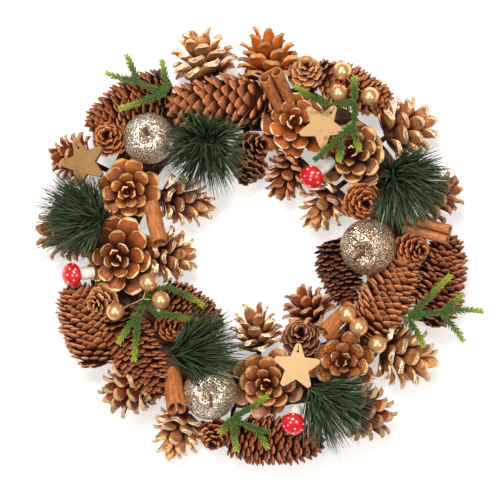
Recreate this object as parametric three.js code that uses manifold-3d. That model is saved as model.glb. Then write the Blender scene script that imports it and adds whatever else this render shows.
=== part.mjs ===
// A round winter wreath that lies on its flat back: a ring of twisted vines, dressed with pine
// cones, glittered apples, cinnamon quills, wooden stars, toadstools, gilded berries, sprigs of
// green and tufts of long needles. Millimetres, +Z up, the origin under the middle of the wreath.
import * as THREE from "three";
import { ConvexGeometry } from "three/addons/geometries/ConvexGeometry.js";
import { mergeVertices } from "three/addons/utils/BufferGeometryUtils.js";
import Module from "manifold-3d";

const wasm = await Module();
wasm.setup();

// Driving dimensions.
const RING_RADIUS = 114; // middle of the vine ring
const RING_HALF_WIDTH = 20;
const RING_HALF_HEIGHT = 10;
const CLEARANCE = 0.3; // left between a piece and the one that it is pressed against
const BERRY_RADIUS = 7.4;
const STAR_REACH = 19; // from a star's middle to its points
const STAR_THICKNESS = 5;
const TOADSTOOL_RADIUS = 9.6;
const CAP_LEAN = 0.7; // how far a toadstool's cap is tipped up from its stem, to the viewer
const QUILL_BARK = 1.5; // thickness of the rolled bark
const NEEDLE_LENGTH = 40;
const FLATTENED = 0.5; // how far the long needles stand up, against how far they spread
const SPRIG_NEEDLE = 6; // how far a short needle stands out from its twig
const SPRIG_PITCH = 10; // from one whorl of short needles to the next
const MIDDLE = [1.95, 0.9]; // the middle of the dressed wreath, from the middle of its vine ring

const COLOURS = {
  vine: [0x4a3221, 0.9, 0],
  spruce: [0x8a5434, 0.7, 0],
  brown: [0x7c4a2e, 0.7, 0],
  amber: [0xb8793c, 0.6, 0],
  gilded: [0xc08a4c, 0.4, 0.4],
  rosette: [0x8f4a22, 0.7, 0],
  glitter: [0xd8c8a4, 0.3, 0.5],
  wood: [0xdcb47e, 0.7, 0],
  bark: [0xa8652f, 0.8, 0],
  scarlet: [0xd81424, 0.25, 0],
  ivory: [0xd8d2c8, 0.6, 0],
  pearl: [0xd0a060, 0.3, 0.6],
  sprig: [0x4f8f35, 0.6, 0],
  pine: [0x25502c, 0.5, 0],
};

const vector = (place) => new THREE.Vector3(...place);
const radians = THREE.MathUtils.degToRad;

// Turns closed geometry into a solid that can be joined and cut, and back.
function solidOf(geometry) {
  const bare = geometry.clone();
  bare.deleteAttribute("normal");
  bare.deleteAttribute("uv");
  const merged = mergeVertices(bare, 1e-4);
  return new wasm.Manifold(
    new wasm.Mesh({
      numProp: 3,
      vertProperties: merged.getAttribute("position").array,
      triVerts: new Uint32Array(merged.index.array),
    }),
  );
}

function geometryOf(solid) {
  const mesh = solid.getMesh();
  const geometry = new THREE.BufferGeometry();
  geometry.setAttribute("position", new THREE.BufferAttribute(mesh.vertProperties, 3));
  geometry.setIndex(new THREE.BufferAttribute(mesh.triVerts, 1));
  geometry.computeVertexNormals();
  return geometry;
}

// A piece's convex outline, a little larger than the piece, which cuts what lies behind it.
function envelopeOf(geometry) {
  const position = geometry.getAttribute("position");
  const corners = [];
  for (let i = 0; i < position.count; i++) corners.push(new THREE.Vector3().fromBufferAttribute(position, i));
  const box = new THREE.Box3().setFromPoints(corners);
  const middle = box.getCenter(new THREE.Vector3());
  const half = box.getSize(new THREE.Vector3()).divideScalar(2);
  const grow = new THREE.Vector3(1 + CLEARANCE / half.x, 1 + CLEARANCE / half.y, 1 + CLEARANCE / half.z);
  return new ConvexGeometry(corners.map((corner) => corner.sub(middle).multiply(grow).add(middle)));
}

// One part of a piece, moved to its place, with the envelope that keeps others clear of it.
function placed(geometry, matrix, outside = envelopeOf(geometry)) {
  const solid = solidOf(geometry.clone().applyMatrix4(matrix));
  return { solid, envelope: solidOf(outside.applyMatrix4(matrix)) };
}

// The matrix that stands a local +Z axis at foot, pointing to tip, turned by spin about it.
function standing(foot, tip, spin = 0) {
  const start = vector(foot);
  const axis = vector(tip).sub(start).normalize();
  const turn = new THREE.Quaternion().setFromUnitVectors(new THREE.Vector3(0, 0, 1), axis);
  turn.multiply(new THREE.Quaternion().setFromAxisAngle(new THREE.Vector3(0, 0, 1), spin));
  return new THREE.Matrix4().compose(start, turn, new THREE.Vector3(1, 1, 1));
}

const distance = (foot, tip) => vector(foot).distanceTo(vector(tip));

// A closed surface of revolution, from a profile of [radius, height] pairs.
function turned(profile, sides) {
  const outline = profile.map(([r, z]) => new THREE.Vector2(r, z));
  return new THREE.LatheGeometry(outline, sides).rotateX(Math.PI / 2);
}

function rod(foot, tip, radius, sides) {
  const length = distance(foot, tip);
  const geometry = new THREE.CylinderGeometry(radius, radius, length, sides);
  geometry.rotateX(Math.PI / 2).translate(0, 0, length / 2);
  return placed(geometry, standing(foot, tip));
}

// Cones. Rows of scales climb a core, each row turned half a scale from the last. A scale is
// raised from the core's surface: its outer face runs from two roots to the corners of its free
// edge, and its inner face falls back to a root of the next row. Reach is how far from the axis
// a scale's edge stands, rise how far above its own roots; both run with the share of the rows.
function scaledBody({ rows, perRow, corners, coreLength, core, reach, rise, spread, valley }) {
  const points = [];
  const faces = [];
  const sector = (2 * Math.PI) / perRow;
  const add = (radius, angle, height) => {
    points.push(radius * Math.cos(angle), radius * Math.sin(angle), height);
    return points.length / 3 - 1;
  };
  const face = (a, b, c) => {
    if (a !== b && b !== c && c !== a) faces.push(a, b, c);
  };
  const ringOf = (radius, turn, height) =>
    Array.from({ length: perRow }, (_, j) => add(radius, turn + j * sector, height));
  const foot = add(0, 0, -0.04 * coreLength);
  let roots = ringOf(core(0), 0, 0);
  for (let j = 0; j < perRow; j++) faces.push(foot, roots[(j + 1) % perRow], roots[j]);
  for (let k = 0; k < rows; k++) {
    const share = (k + 0.5) / rows;
    const height = (coreLength * k) / rows;
    const turn = (k * sector) / 2;
    const radius = core(k / rows);
    const out = reach(share) - radius;
    const up = rise(share);
    const valleys = valley ? ringOf(radius + valley * out, turn, height + valley * up) : roots;
    const next = ringOf(core((k + 1) / rows), turn + sector / 2, (coreLength * (k + 1)) / rows);
    for (let j = 0; j < perRow; j++) {
      const after = (j + 1) % perRow;
      const edge = [valleys[j]];
      for (let c = 0; c < corners; c++) {
        const across = corners === 1 ? 0 : (2 * c) / (corners - 1) - 1;
        const short = corners === 2 ? 0 : 0.16 * across * across;
        const angle = turn + sector * (j + 0.5 + (across * spread(share)) / 2);
        edge.push(add(radius + out * (1 - short), angle, height + up * (1 - short)));
      }
      edge.push(valleys[after]);
      const middle = Math.floor(edge.length / 2);
      face(roots[j], roots[after], edge[middle]);
      for (let s = 0; s + 1 < edge.length; s++) {
        face(s < middle ? roots[j] : roots[after], edge[s + 1], edge[s]);
        face(edge[s], edge[s + 1], next[j]);
      }
      face(valleys[after], next[after], next[j]);
    }
    roots = next;
  }
  const top = add(0, 0, coreLength + core(1));
  for (let j = 0; j < perRow; j++) faces.push(roots[j], roots[(j + 1) % perRow], top);
  const geometry = new THREE.BufferGeometry();
  geometry.setAttribute("position", new THREE.Float32BufferAttribute(points, 3));
  geometry.setIndex(faces);
  return geometry;
}

// A coarse convex case round a body of revolution, from [radius, height] pairs.
function caseRound(profile) {
  const sides = 8;
  const corners = profile.flatMap(([radius, height]) =>
    Array.from({ length: sides }, (_, j) => {
      const angle = ((j + 0.5) / sides) * 2 * Math.PI;
      const reach = (radius + CLEARANCE) / Math.cos(Math.PI / sides);
      return new THREE.Vector3(reach * Math.cos(angle), reach * Math.sin(angle), height);
    }),
  );
  return new ConvexGeometry(corners);
}

// The nearest place inside the vine ring, on the side that a piece lies on.
function inRing([x, y]) {
  const away = Math.hypot(x, y);
  const side = Math.sign(away - RING_RADIUS) * Math.min(0.6 * RING_HALF_WIDTH, Math.abs(away - RING_RADIUS));
  const share = (RING_RADIUS + side) / away;
  return [x * share, y * share, 0.9 * RING_HALF_HEIGHT];
}

// Stands a cone in its place and draws the end of its core down into the ring, as its root.
function rooted(geometry, matrix, foot, outside) {
  const root = vector(inRing(foot)).applyMatrix4(matrix.clone().invert());
  geometry.getAttribute("position").setXYZ(0, ...root.toArray());
  return placed(geometry, matrix, outside);
}

// A long closed cone, such as a spruce's: pointed scales laid like shingles.
function longCone({ foot, tip, radius, spin = 0, rows = 6, perRow = 7 }) {
  const length = distance(foot, tip);
  const coreLength = 0.9 * length;
  const swell = (t) => Math.sqrt(Math.max(0.12, 1 - ((t - 0.38) / 0.7) ** 2)) * (t < 0.2 ? 0.8 + t : 1);
  const geometry = scaledBody({
    rows,
    perRow,
    corners: 1,
    coreLength,
    core: (t) => 0.76 * radius * swell(t),
    reach: (t) => radius * swell(t),
    rise: () => (1.3 * coreLength) / rows,
    spread: () => 0,
    valley: 0.6,
  });
  const outside = caseRound([
    [0.8 * radius, -0.05 * length],
    [1.01 * radius, 0.2 * length],
    [1.01 * radius, 0.68 * length],
    [0.66 * radius, 1.02 * length],
  ]);
  return placed(geometry, standing(foot, tip, spin), outside);
}

// An open cone, such as a pine's: blunt scales that stand out round the foot and close at the tip.
function openCone({ foot, tip, radius, spin = 0, rows = 5, perRow = 5 }) {
  const length = distance(foot, tip);
  const geometry = scaledBody({
    rows,
    perRow,
    corners: 2,
    coreLength: 0.72 * length,
    core: (t) => radius * (0.3 - 0.2 * t),
    reach: (t) => radius * (1 - ((t - 0.3) / 0.85) ** 2),
    rise: (t) => length * (0.05 + 0.36 * t),
    spread: (t) => 0.5 + 0.3 * t,
    valley: 0.6,
  });
  const outside = caseRound([
    [0.62 * radius, -0.04 * length],
    [radius, 0.06 * length],
    [radius, 0.5 * length],
    [0.58 * radius, length],
  ]);
  return rooted(geometry, standing(foot, tip, spin), foot, outside);
}

// An open cone seen from its tip: the rows of scales spread out like a flower.
function facingCone({ foot, tip, radius, spin = 0, rows = 4, perRow = 6 }) {
  const length = distance(foot, tip);
  const geometry = scaledBody({
    rows,
    perRow,
    corners: 3,
    coreLength: 0.74 * length,
    core: (t) => radius * (0.3 - 0.2 * t),
    reach: (t) => radius * (1.06 - 0.74 * t),
    rise: (t) => length * (0.04 + 0.32 * t),
    spread: (t) => 0.66 + 0.26 * t,
    valley: 0,
  });
  const outside = caseRound([
    [0.5 * radius, -0.03 * length],
    [0.97 * radius, 0.04 * length],
    [0.97 * radius, 0.1 * length],
    [0.42 * radius, 0.9 * length],
  ]);
  return rooted(geometry, standing(foot, tip, spin), foot, outside);
}

// A small rosette cone, such as a cedar's tip: broad scales packed like petals.
function rosetteCone({ foot, tip, radius, spin = 0, rows = 3, perRow = 5 }) {
  const length = distance(foot, tip);
  const geometry = scaledBody({
    rows,
    perRow,
    corners: 2,
    coreLength: 0.76 * length,
    core: (t) => radius * (0.5 - 0.36 * t),
    reach: (t) => radius * (1.06 - 0.7 * t),
    rise: (t) => length * (0.1 + 0.26 * t),
    spread: () => 0.8,
    valley: 0,
  });
  const outside = caseRound([
    [0.6 * radius, -0.04 * length],
    [0.95 * radius, 0.05 * length],
    [0.95 * radius, 0.17 * length],
    [0.45 * radius, 0.9 * length],
  ]);
  return placed(geometry, standing(foot, tip, spin), outside);
}

// A foam apple: round, with a dimple at the top that its twig stem stands in.
function apple({ middle, radius, lean, stem }) {
  const below = [[0, -0.8], [0.34, -0.9], [0.8, -0.6], [1, -0.05]];
  const above = [[0.88, 0.5], [0.5, 0.83], [0.22, 0.76], [0, 0.55]];
  const flesh = [...below, ...above].map(([r, z]) => [r * radius, z * radius]);
  const along = vector(lean).normalize();
  const base = vector(middle);
  const tip = base.clone().add(along);
  const body = placed(turned(flesh, 10), standing(middle, tip.toArray()));
  const dimple = base.clone().addScaledVector(along, 0.45 * radius).toArray();
  const twig = rod(dimple, base.clone().add(vector(stem)).toArray(), 1.3, 4);
  return [body, twig];
}

// A flat wooden star with blunt points and a hole for its thread.
function star({ middle, turn, face }) {
  const outline = new THREE.Shape();
  const blunt = radians(5);
  for (let i = 0; i < 5; i++) {
    const point = turn + Math.PI / 2 + (i * 2 * Math.PI) / 5;
    for (const side of [-blunt, blunt]) {
      const place = [STAR_REACH * Math.cos(point + side), STAR_REACH * Math.sin(point + side)];
      if (i === 0 && side < 0) outline.moveTo(...place);
      else outline.lineTo(...place);
    }
    const notch = point + Math.PI / 5;
    outline.lineTo(0.52 * STAR_REACH * Math.cos(notch), 0.52 * STAR_REACH * Math.sin(notch));
  }
  const hole = new THREE.Path();
  const across = 0.66 * STAR_REACH;
  const upwards = turn + Math.PI / 2;
  hole.absarc(across * Math.cos(upwards), across * Math.sin(upwards), 1, 0, 2 * Math.PI, true);
  outline.holes.push(hole);
  const cutOut = { depth: STAR_THICKNESS, bevelEnabled: false, curveSegments: 3 };
  const geometry = new THREE.ExtrudeGeometry(outline, cutOut);
  geometry.translate(0, 0, -STAR_THICKNESS / 2);
  return placed(geometry, standing(middle, vector(middle).add(vector(face)).toArray()));
}

function toadstoolCap({ crown, foot }) {
  const dome = [[0, -0.2], [0.94, -0.2], [1, 0.02], [0.82, 0.42], [0.45, 0.7], [0, 0.78]];
  const upwards = vector(crown).sub(vector(foot)).normalize().add(vector([0, 0, CAP_LEAN]));
  const geometry = turned(dome.map(([r, z]) => [r * TOADSTOOL_RADIUS, z * TOADSTOOL_RADIUS]), 9);
  return placed(geometry, standing(crown, vector(crown).add(upwards).toArray()));
}

function toadstoolStem({ crown, foot }) {
  const length = distance(foot, crown) - 0.2 * TOADSTOOL_RADIUS - CLEARANCE;
  const profile = [[0, 0], [4.6, 0], [5.2, 0.45 * length], [3.8, length], [0, length]];
  return placed(turned(profile, 7), standing(foot, crown));
}

// Half of a quill's end, from the loose edge inside its roll to the middle of its back. A flat
// quill is two rolls side by side. A round one is a tube, whose edges curl in like a heart.
function halfScroll(width, flat) {
  const half = [];
  const steps = 6;
  if (flat) {
    const scroll = (width - QUILL_BARK) / 4.4;
    for (let i = steps; i >= 0; i--) {
      const angle = Math.PI / 2 - (i / steps) * 1.85 * Math.PI;
      const reach = scroll * (1 - 1.3 * Math.max(0, i / steps - 0.6));
      half.push(new THREE.Vector2(1.2 * scroll + reach * Math.cos(angle), reach * Math.sin(angle)));
    }
    return half;
  }
  const tube = (width - QUILL_BARK) / 2;
  const curl = 0.36 * tube;
  const brow = radians(41);
  const middle = new THREE.Vector2((tube - curl) * Math.cos(brow), (tube - curl) * Math.sin(brow));
  for (let i = 3; i > 0; i--) {
    const angle = brow + (i / 3) * radians(170);
    half.push(new THREE.Vector2(middle.x + curl * Math.cos(angle), middle.y + curl * Math.sin(angle)));
  }
  for (let i = steps; i >= 0; i--) {
    const angle = -Math.PI / 2 + (i / steps) * (brow + Math.PI / 2);
    half.push(new THREE.Vector2(tube * Math.cos(angle), tube * Math.sin(angle)));
  }
  return half;
}

// A quill of bark rolled in from both sides, turned so that the viewer sees a flat one's groove,
// and a round one's back.
function quill({ foot, tip, width, flat = false }) {
  const right = halfScroll(width, flat);
  const left = right.map((p) => new THREE.Vector2(-p.x, p.y)).reverse();
  const line = flat ? [...right, ...left] : [...right, ...left.slice(1)];
  const side = (sign) =>
    line.map((p, i) => {
      const ahead = line[Math.min(i + 1, line.length - 1)];
      const along = ahead.clone().sub(line[Math.max(i - 1, 0)]).normalize();
      const half = (sign * QUILL_BARK) / 2;
      return new THREE.Vector2(p.x - half * along.y, p.y + half * along.x);
    });
  const outline = new THREE.Shape([...side(1), ...side(-1).reverse()]);
  const geometry = new THREE.ExtrudeGeometry(outline, { depth: distance(foot, tip), bevelEnabled: false });
  const groove = Math.atan2(foot[0] - tip[0], tip[1] - foot[1]);
  return placed(geometry, standing(foot, tip, groove));
}

// Gilded berries on wires that meet at a joint, pushed in behind it.
function berries({ middles, joint }) {
  const round = [[0, -1], [0.74, -0.7], [1.02, 0], [0.74, 0.7], [0, 1]];
  const ball = turned(round.map(([r, z]) => [r * BERRY_RADIUS, z * BERRY_RADIUS]), 8);
  const balls = middles.map((middle) => placed(ball, new THREE.Matrix4().makeTranslation(...middle)));
  const wires = middles.map((middle) => rod(joint, middle, 0.8, 3));
  return [...balls, ...wires];
}

// A shoot of a sprig starts as a bare twig, rooted a little beyond the one that it grows from,
// and then carries short needles in whorls of three.
function shoot(from, to, spin) {
  const bare = 0.6 * SPRIG_PITCH;
  const length = distance(from, to) - bare;
  const rows = Math.max(2, Math.round(length / SPRIG_PITCH));
  const geometry = scaledBody({
    rows,
    perRow: 3,
    corners: 1,
    coreLength: length,
    core: (t) => 1.6 - 0.5 * t,
    reach: (t) => SPRIG_NEEDLE * (1 - 0.25 * t),
    rise: () => 0.8 * SPRIG_NEEDLE,
    spread: () => 0,
    valley: 0,
  });
  geometry.getAttribute("position").setZ(0, -bare - 3);
  geometry.translate(0, 0, bare);
  return placed(geometry, standing(from, to, spin));
}

// A sprig's shoots are listed as [parent, share, tip]: each grows out of the one numbered parent,
// at that share of its length, or out of the root where the parent is -1.
function sprig({ root, shoots, pinnedTo }) {
  const ends = [];
  for (const [parent, share, tip] of shoots) {
    const from = parent < 0 ? root : vector(ends[parent][0]).lerp(vector(ends[parent][1]), share).toArray();
    ends.push([from, tip]);
  }
  const knot = placed(new THREE.OctahedronGeometry(2.6), new THREE.Matrix4().makeTranslation(...root));
  return [knot, pin(root, ...pinnedTo), ...ends.map(([from, tip], i) => shoot(from, tip, i))];
}

// A tuft of long needles: each one is drawn out of a facet of a small round heart, and the
// needles lean the way that the tuft is combed.
function tuft({ heart, combed, stem, length = NEEDLE_LENGTH, seed }) {
  const heartRadius = 5;
  const random = seededRandom(seed);
  const ball = turned([[0, -0.9], [0.8, -0.6], [1, 0], [0.86, 0.5], [0.5, 0.86], [0, 1]], 11).toNonIndexed();
  const places = ball.getAttribute("position");
  const lean = vector(combed);
  const points = [];
  for (let i = 0; i < places.count; i += 3) {
    const corners = [0, 1, 2].map((n) => new THREE.Vector3().fromBufferAttribute(places, i + n));
    if (new THREE.Triangle(...corners).getArea() < 1e-6) continue;
    const out = corners[0].clone().add(corners[1]).add(corners[2]).divideScalar(3).normalize();
    const way = out.clone().add(lean).normalize().multiply(new THREE.Vector3(1, 1, FLATTENED));
    const reach = length * (0.8 + 0.28 * random());
    const grows = way.z > 0.01 && out.dot(lean) > -0.55 * lean.length();
    const foot = corners.map((corner) => corner.clone().multiplyScalar(heartRadius));
    if (!grows) {
      foot.forEach((corner) => points.push(...corner.toArray()));
      continue;
    }
    const needleTip = out.clone().multiplyScalar(heartRadius).addScaledVector(way, reach);
    for (let n = 0; n < 3; n++) {
      points.push(...foot[n].toArray(), ...foot[(n + 1) % 3].toArray(), ...needleTip.toArray());
    }
  }
  const geometry = new THREE.BufferGeometry();
  geometry.setAttribute("position", new THREE.Float32BufferAttribute(points, 3));
  const spray = placed(geometry, new THREE.Matrix4().makeTranslation(...heart));
  return [spray, rod(heart, stem, 1.4, 4)];
}

function seededRandom(seed) {
  let state = seed;
  return () => {
    state = (state * 1664525 + 1013904223) % 4294967296;
    return state / 4294967296;
  };
}

// The vine ring: strands twisted round each other, pressed flat underneath.
function vineRing(extra) {
  const strands = 5;
  const around = strands * 2;
  const steps = 22;
  const twist = (3 * 2 * Math.PI) / strands;
  const points = [];
  const faces = [];
  for (let i = 0; i < steps; i++) {
    const along = (i / steps) * 2 * Math.PI;
    for (let j = 0; j < around; j++) {
      const angle = (j / around) * 2 * Math.PI + (twist * i) / steps;
      const bulge = j % 2 ? 0.82 : 1.05;
      const radius = RING_RADIUS + (RING_HALF_WIDTH * bulge + extra) * Math.cos(angle);
      const height = 0.8 * RING_HALF_HEIGHT + (RING_HALF_HEIGHT * bulge + extra) * Math.sin(angle);
      points.push(radius * Math.cos(along), radius * Math.sin(along), height);
    }
  }
  const shift = Math.round((twist / (2 * Math.PI)) * around);
  for (let i = 0; i < steps; i++) {
    const next = (i + 1) % steps;
    const step = next === 0 ? shift : 0;
    for (let j = 0; j < around; j++) {
      const a = i * around + j;
      const b = i * around + ((j + 1) % around);
      const c = next * around + ((j + 1 + step) % around);
      const d = next * around + ((j + step) % around);
      faces.push(a, c, b, a, d, c);
    }
  }
  const geometry = new THREE.BufferGeometry();
  geometry.setAttribute("position", new THREE.Float32BufferAttribute(points, 3));
  geometry.setIndex(faces);
  const floor = new THREE.BoxGeometry(3 * RING_RADIUS, 3 * RING_RADIUS, 40).translate(0, 0, -20);
  return solidOf(geometry).subtract(solidOf(floor));
}

// The dressing of the wreath. Pieces are laid front to back: each is cut clear of the ones
// before it, so that what lies behind has a hollow where the piece in front is pressed in.
const laid = [];
const lay = (name, finish, parts, stalks = []) => laid.push({ name, finish, parts, stalks });
const stalk = (foot, tip) => rod(foot, tip, 2.4, 4);
// A thin stem that reaches into the piece named on, as deep as that piece lets it.
const pin = (foot, tip, on) => ({ ...rod(foot, tip, 1.3, 3), on });

lay("vine_ring", "vine", [{ solid: vineRing(0), envelope: vineRing(CLEARANCE) }]);

lay("star_top", "wood", [star({ middle: [54, 95, 56], turn: radians(-34), face: [-0.05, 0.1, 1] })]);
lay("star_bottom", "wood", [star({ middle: [34, -96, 52.5], turn: radians(-4), face: [0, -0.05, 1] })]);
lay("star_left", "wood", [star({ middle: [-135, 66, 55], turn: radians(20), face: [-0.32, 0.12, 1] })]);

const BERRIES = [
  { name: "top", middles: [[70, 139, 51], [67, 122, 51], [92, 119, 50]], joint: [79, 127, 52] },
  { name: "left", middles: [[-84, -29, 54], [-74, -43, 56], [-110, -52, 60]], joint: [-88, -42, 61] },
  { name: "right", middles: [[74, -54, 56], [83, -64, 60], [98, -78, 56]], joint: [84, -68, 54] },
];
for (const spray of BERRIES) lay("berries_" + spray.name, "pearl", berries(spray));

const TOADSTOOLS = [
  { name: "top", crown: [46, 55, 50], foot: [62, 68, 38] },
  { name: "bottom", crown: [31, -141, 56], foot: [34, -129, 44] },
  { name: "left", crown: [-145, -23, 42], foot: [-121, -20, 36] },
];
for (const toadstool of TOADSTOOLS) {
  lay(`toadstool_${toadstool.name}_cap`, "scarlet", [toadstoolCap(toadstool)]);
  lay(`toadstool_${toadstool.name}_stem`, "ivory", [toadstoolStem(toadstool)]);
}

const APPLES = [
  { name: "right", middle: [91, -1, 45], radius: 22.5, lean: [-0.24, -0.24, 1], stem: [-12, -10, 20] },
  { name: "bottom", middle: [-35, -117, 43], radius: 21.5, lean: [0.04, 0.04, 1], stem: [1, -10, 19] },
  { name: "left", middle: [-84, 86, 43], radius: 20.5, lean: [-0.05, 0.1, 1], stem: [-2, 7, 19] },
];
for (const one of APPLES) lay("apple_" + one.name, "glitter", apple(one));

const QUILLS = [
  { name: "top", foot: [25, 112, 40], tip: [11, 138, 62], width: 19, flat: true },
  { name: "right", foot: [121, 18, 34], tip: [156, 9, 44], width: 16, flat: true },
  { name: "inner", foot: [77, -49, 39], tip: [54, -70, 51], width: 12.5 },
  { name: "bottom", foot: [-67, -99, 30], tip: [-62, -131, 54], width: 14.5 },
  { name: "left", foot: [-82, 35, 38], tip: [-75, 2, 50], width: 12.5 },
];
for (const one of QUILLS) lay("cinnamon_" + one.name, "bark", [quill(one)]);

const FACING_CONES = [
  { name: "top", finish: "amber", foot: [34, 96, 20], tip: [32, 100, 58], radius: 26, spin: 0.3 },
  { name: "right", finish: "amber", foot: [79, 72, 20], tip: [77, 76, 56], radius: 26, spin: 0.9 },
  { name: "bottom", finish: "amber", foot: [11, -110, 20], tip: [9, -111, 57], radius: 26, spin: 0.15 },
  { name: "big", finish: "gilded", foot: [-107, -7, 20], tip: [-109, -11, 62], radius: 28, spin: 0.2 },
  { name: "left", finish: "amber", foot: [-99, 45, 20], tip: [-101, 42, 58], radius: 25, spin: 0.8 },
];
for (const cone of FACING_CONES) lay("facing_cone_" + cone.name, cone.finish, [facingCone(cone)]);
lay("gilded_cones_lower_right", "gilded", [
  facingCone({ foot: [72, -94, 20], tip: [70, -92, 57], radius: 26 }),
  openCone({ foot: [103, -82, 28], tip: [150, -98, 28], radius: 27, spin: 0.3 }),
], [
  stalk([72, -94, 26], [108, -83, 28]),
]);

lay("spruce_cone_top", "spruce", [longCone({ foot: [11, 118, 37], tip: [-69, 111, 37], radius: 21 })]);
lay("cones_lower_left", "spruce", [
  longCone({ foot: [-110, -54, 36], tip: [-74, -125, 36], radius: 19 }),
  longCone({ foot: [-124, -94, 27], tip: [-146, -30, 27], radius: 21, spin: 0.3 }),
  rosetteCone({ foot: [-117, -42, 34], tip: [-130, -48, 51], radius: 13 }),
  openCone({ foot: [-88, -106, 26], tip: [-122, -128, 32], radius: 24, spin: 0.1 }),
], [
  stalk([-118, -80, 26], [-98, -80, 36]),
  stalk([-117, -42, 37], [-106, -60, 36]),
  stalk([-110, -120, 31], [-86, -106, 34]),
]);
lay("cones_right", "spruce", [
  longCone({ foot: [92, -72, 36], tip: [122, -6, 36], radius: 21 }),
  rosetteCone({ foot: [125, -2, 34], tip: [134, -4, 56], radius: 13 }),
], [
  stalk([125, -2, 36], [116, -20, 36]),
]);
lay("spruce_cone_right", "spruce", [
  longCone({ foot: [144, -62, 25], tip: [157, 13, 25], radius: 20, spin: 0.4 }),
], [
  stalk([146, -25, 22], [122, -21, 9]),
]);
lay("spruce_cone_inner_right", "spruce", [
  longCone({ foot: [61, 2, 26], tip: [79, -51, 26], radius: 17, rows: 5 }),
]);
lay("cones_inner_top_left", "rosette", [
  rosetteCone({ foot: [-6, 77, 28], tip: [9, 81, 52], radius: 13.5 }),
  rosetteCone({ foot: [-4, 66, 24], tip: [-9, 50, 33], radius: 15 }),
], [
  stalk([-4, 78, 31], [-5, 64, 26]),
  stalk([-5, 77, 30], [-7, 103, 8]),
]);
lay("cones_inner_left", "spruce", [
  longCone({ foot: [-72, -37, 24], tip: [-24, -67, 24], radius: 16, rows: 5 }),
  rosetteCone({ foot: [-68, -63, 26], tip: [-60, -65, 50], radius: 12.5 }),
], [
  stalk([-68, -62, 28], [-58, -42, 24]),
  stalk([-70, -39, 22], [-88, -54, 8]),
]);
lay("cones_upper_left", "spruce", [
  longCone({ foot: [-70, 131, 28], tip: [-134, 92, 28], radius: 20 }),
  rosetteCone({ foot: [-114, 86, 32], tip: [-118, 89, 56], radius: 14 }),
  openCone({ foot: [-133, 69, 27], tip: [-166, 72, 29], radius: 22 }),
], [
  stalk([-115, 86, 34], [-104, 108, 28]),
  stalk([-136, 69, 27], [-114, 86, 34]),
]);
lay("cones_upper_right", "spruce", [
  longCone({ foot: [51, 139, 30], tip: [111, 112, 30], radius: 17 }),
  rosetteCone({ foot: [42, 137, 30], tip: [42, 145, 52], radius: 13.5 }),
], [
  stalk([42, 138, 33], [60, 134, 30]),
  stalk([70, 131, 28], [58, 108, 8]),
]);
lay("cones_bottom", "spruce", [
  longCone({ foot: [-20, -155, 27], tip: [60, -157, 27], radius: 20 }),
  rosetteCone({ foot: [-31, -148, 26], tip: [-34, -160, 42], radius: 13.5 }),
], [
  stalk([-31, -149, 28], [-14, -155, 27]),
]);
lay("cones_inner_bottom", "rosette", [
  rosetteCone({ foot: [37, -76, 34], tip: [37, -67, 56], radius: 15 }),
  openCone({ foot: [50, -62, 22], tip: [31, -33, 25], radius: 22, rows: 4 }),
], [
  stalk([37, -74, 38], [47, -55, 23]),
]);
lay("cones_inner_right", "gilded", [
  rosetteCone({ foot: [86, 36, 32], tip: [90, 33, 56], radius: 14.5 }),
  openCone({ foot: [66, 47, 23], tip: [43, 12, 25], radius: 21, spin: 0.1, rows: 4 }),
], [
  stalk([86, 36, 35], [64, 42, 24]),
]);
const SIDE_CONES = [
  { name: "top_left", foot: [-38, 135, 28], tip: [-47, 176, 28], radius: 27 },
  { name: "top", finish: "amber", foot: [13, 134, 25], tip: [8, 178, 25], radius: 25, spin: 0.6 },
  { name: "upper_right", foot: [106, 88, 27], tip: [148, 106, 27], radius: 27, spin: 0.2 },
  { name: "inner_top", finish: "brown", foot: [35, 72, 24], tip: [16, 36, 26], radius: 20, spin: 0.5, rows: 4 },
  { name: "right", finish: "brown", foot: [128, 36, 28], tip: [169, 47, 28], radius: 24, spin: 0.7 },
  { name: "inner_bottom", foot: [4, -84, 24], tip: [-2, -44, 27], radius: 22, spin: 0.8, rows: 4 },
  { name: "bottom_right", finish: "brown", foot: [74, -128, 28], tip: [114, -143, 28], radius: 25, spin: 0.4 },
  { name: "bottom_left", foot: [-55, -134, 26], tip: [-71, -173, 26], radius: 22, spin: 0.6 },
  { name: "left", finish: "brown", foot: [-130, 14, 27], tip: [-178, 9, 27], radius: 26, spin: 0.5 },
  { name: "inner_left", foot: [-82, -6, 24], tip: [-44, -9, 29], radius: 23, rows: 4 },
  { name: "inner_upper_left", foot: [-74, 42, 26], tip: [-28, 27, 28], radius: 21, spin: 0.4, rows: 4 },
];
for (const { finish = "gilded", ...cone } of SIDE_CONES) lay("pine_cone_" + cone.name, finish, [openCone(cone)]);

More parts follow.
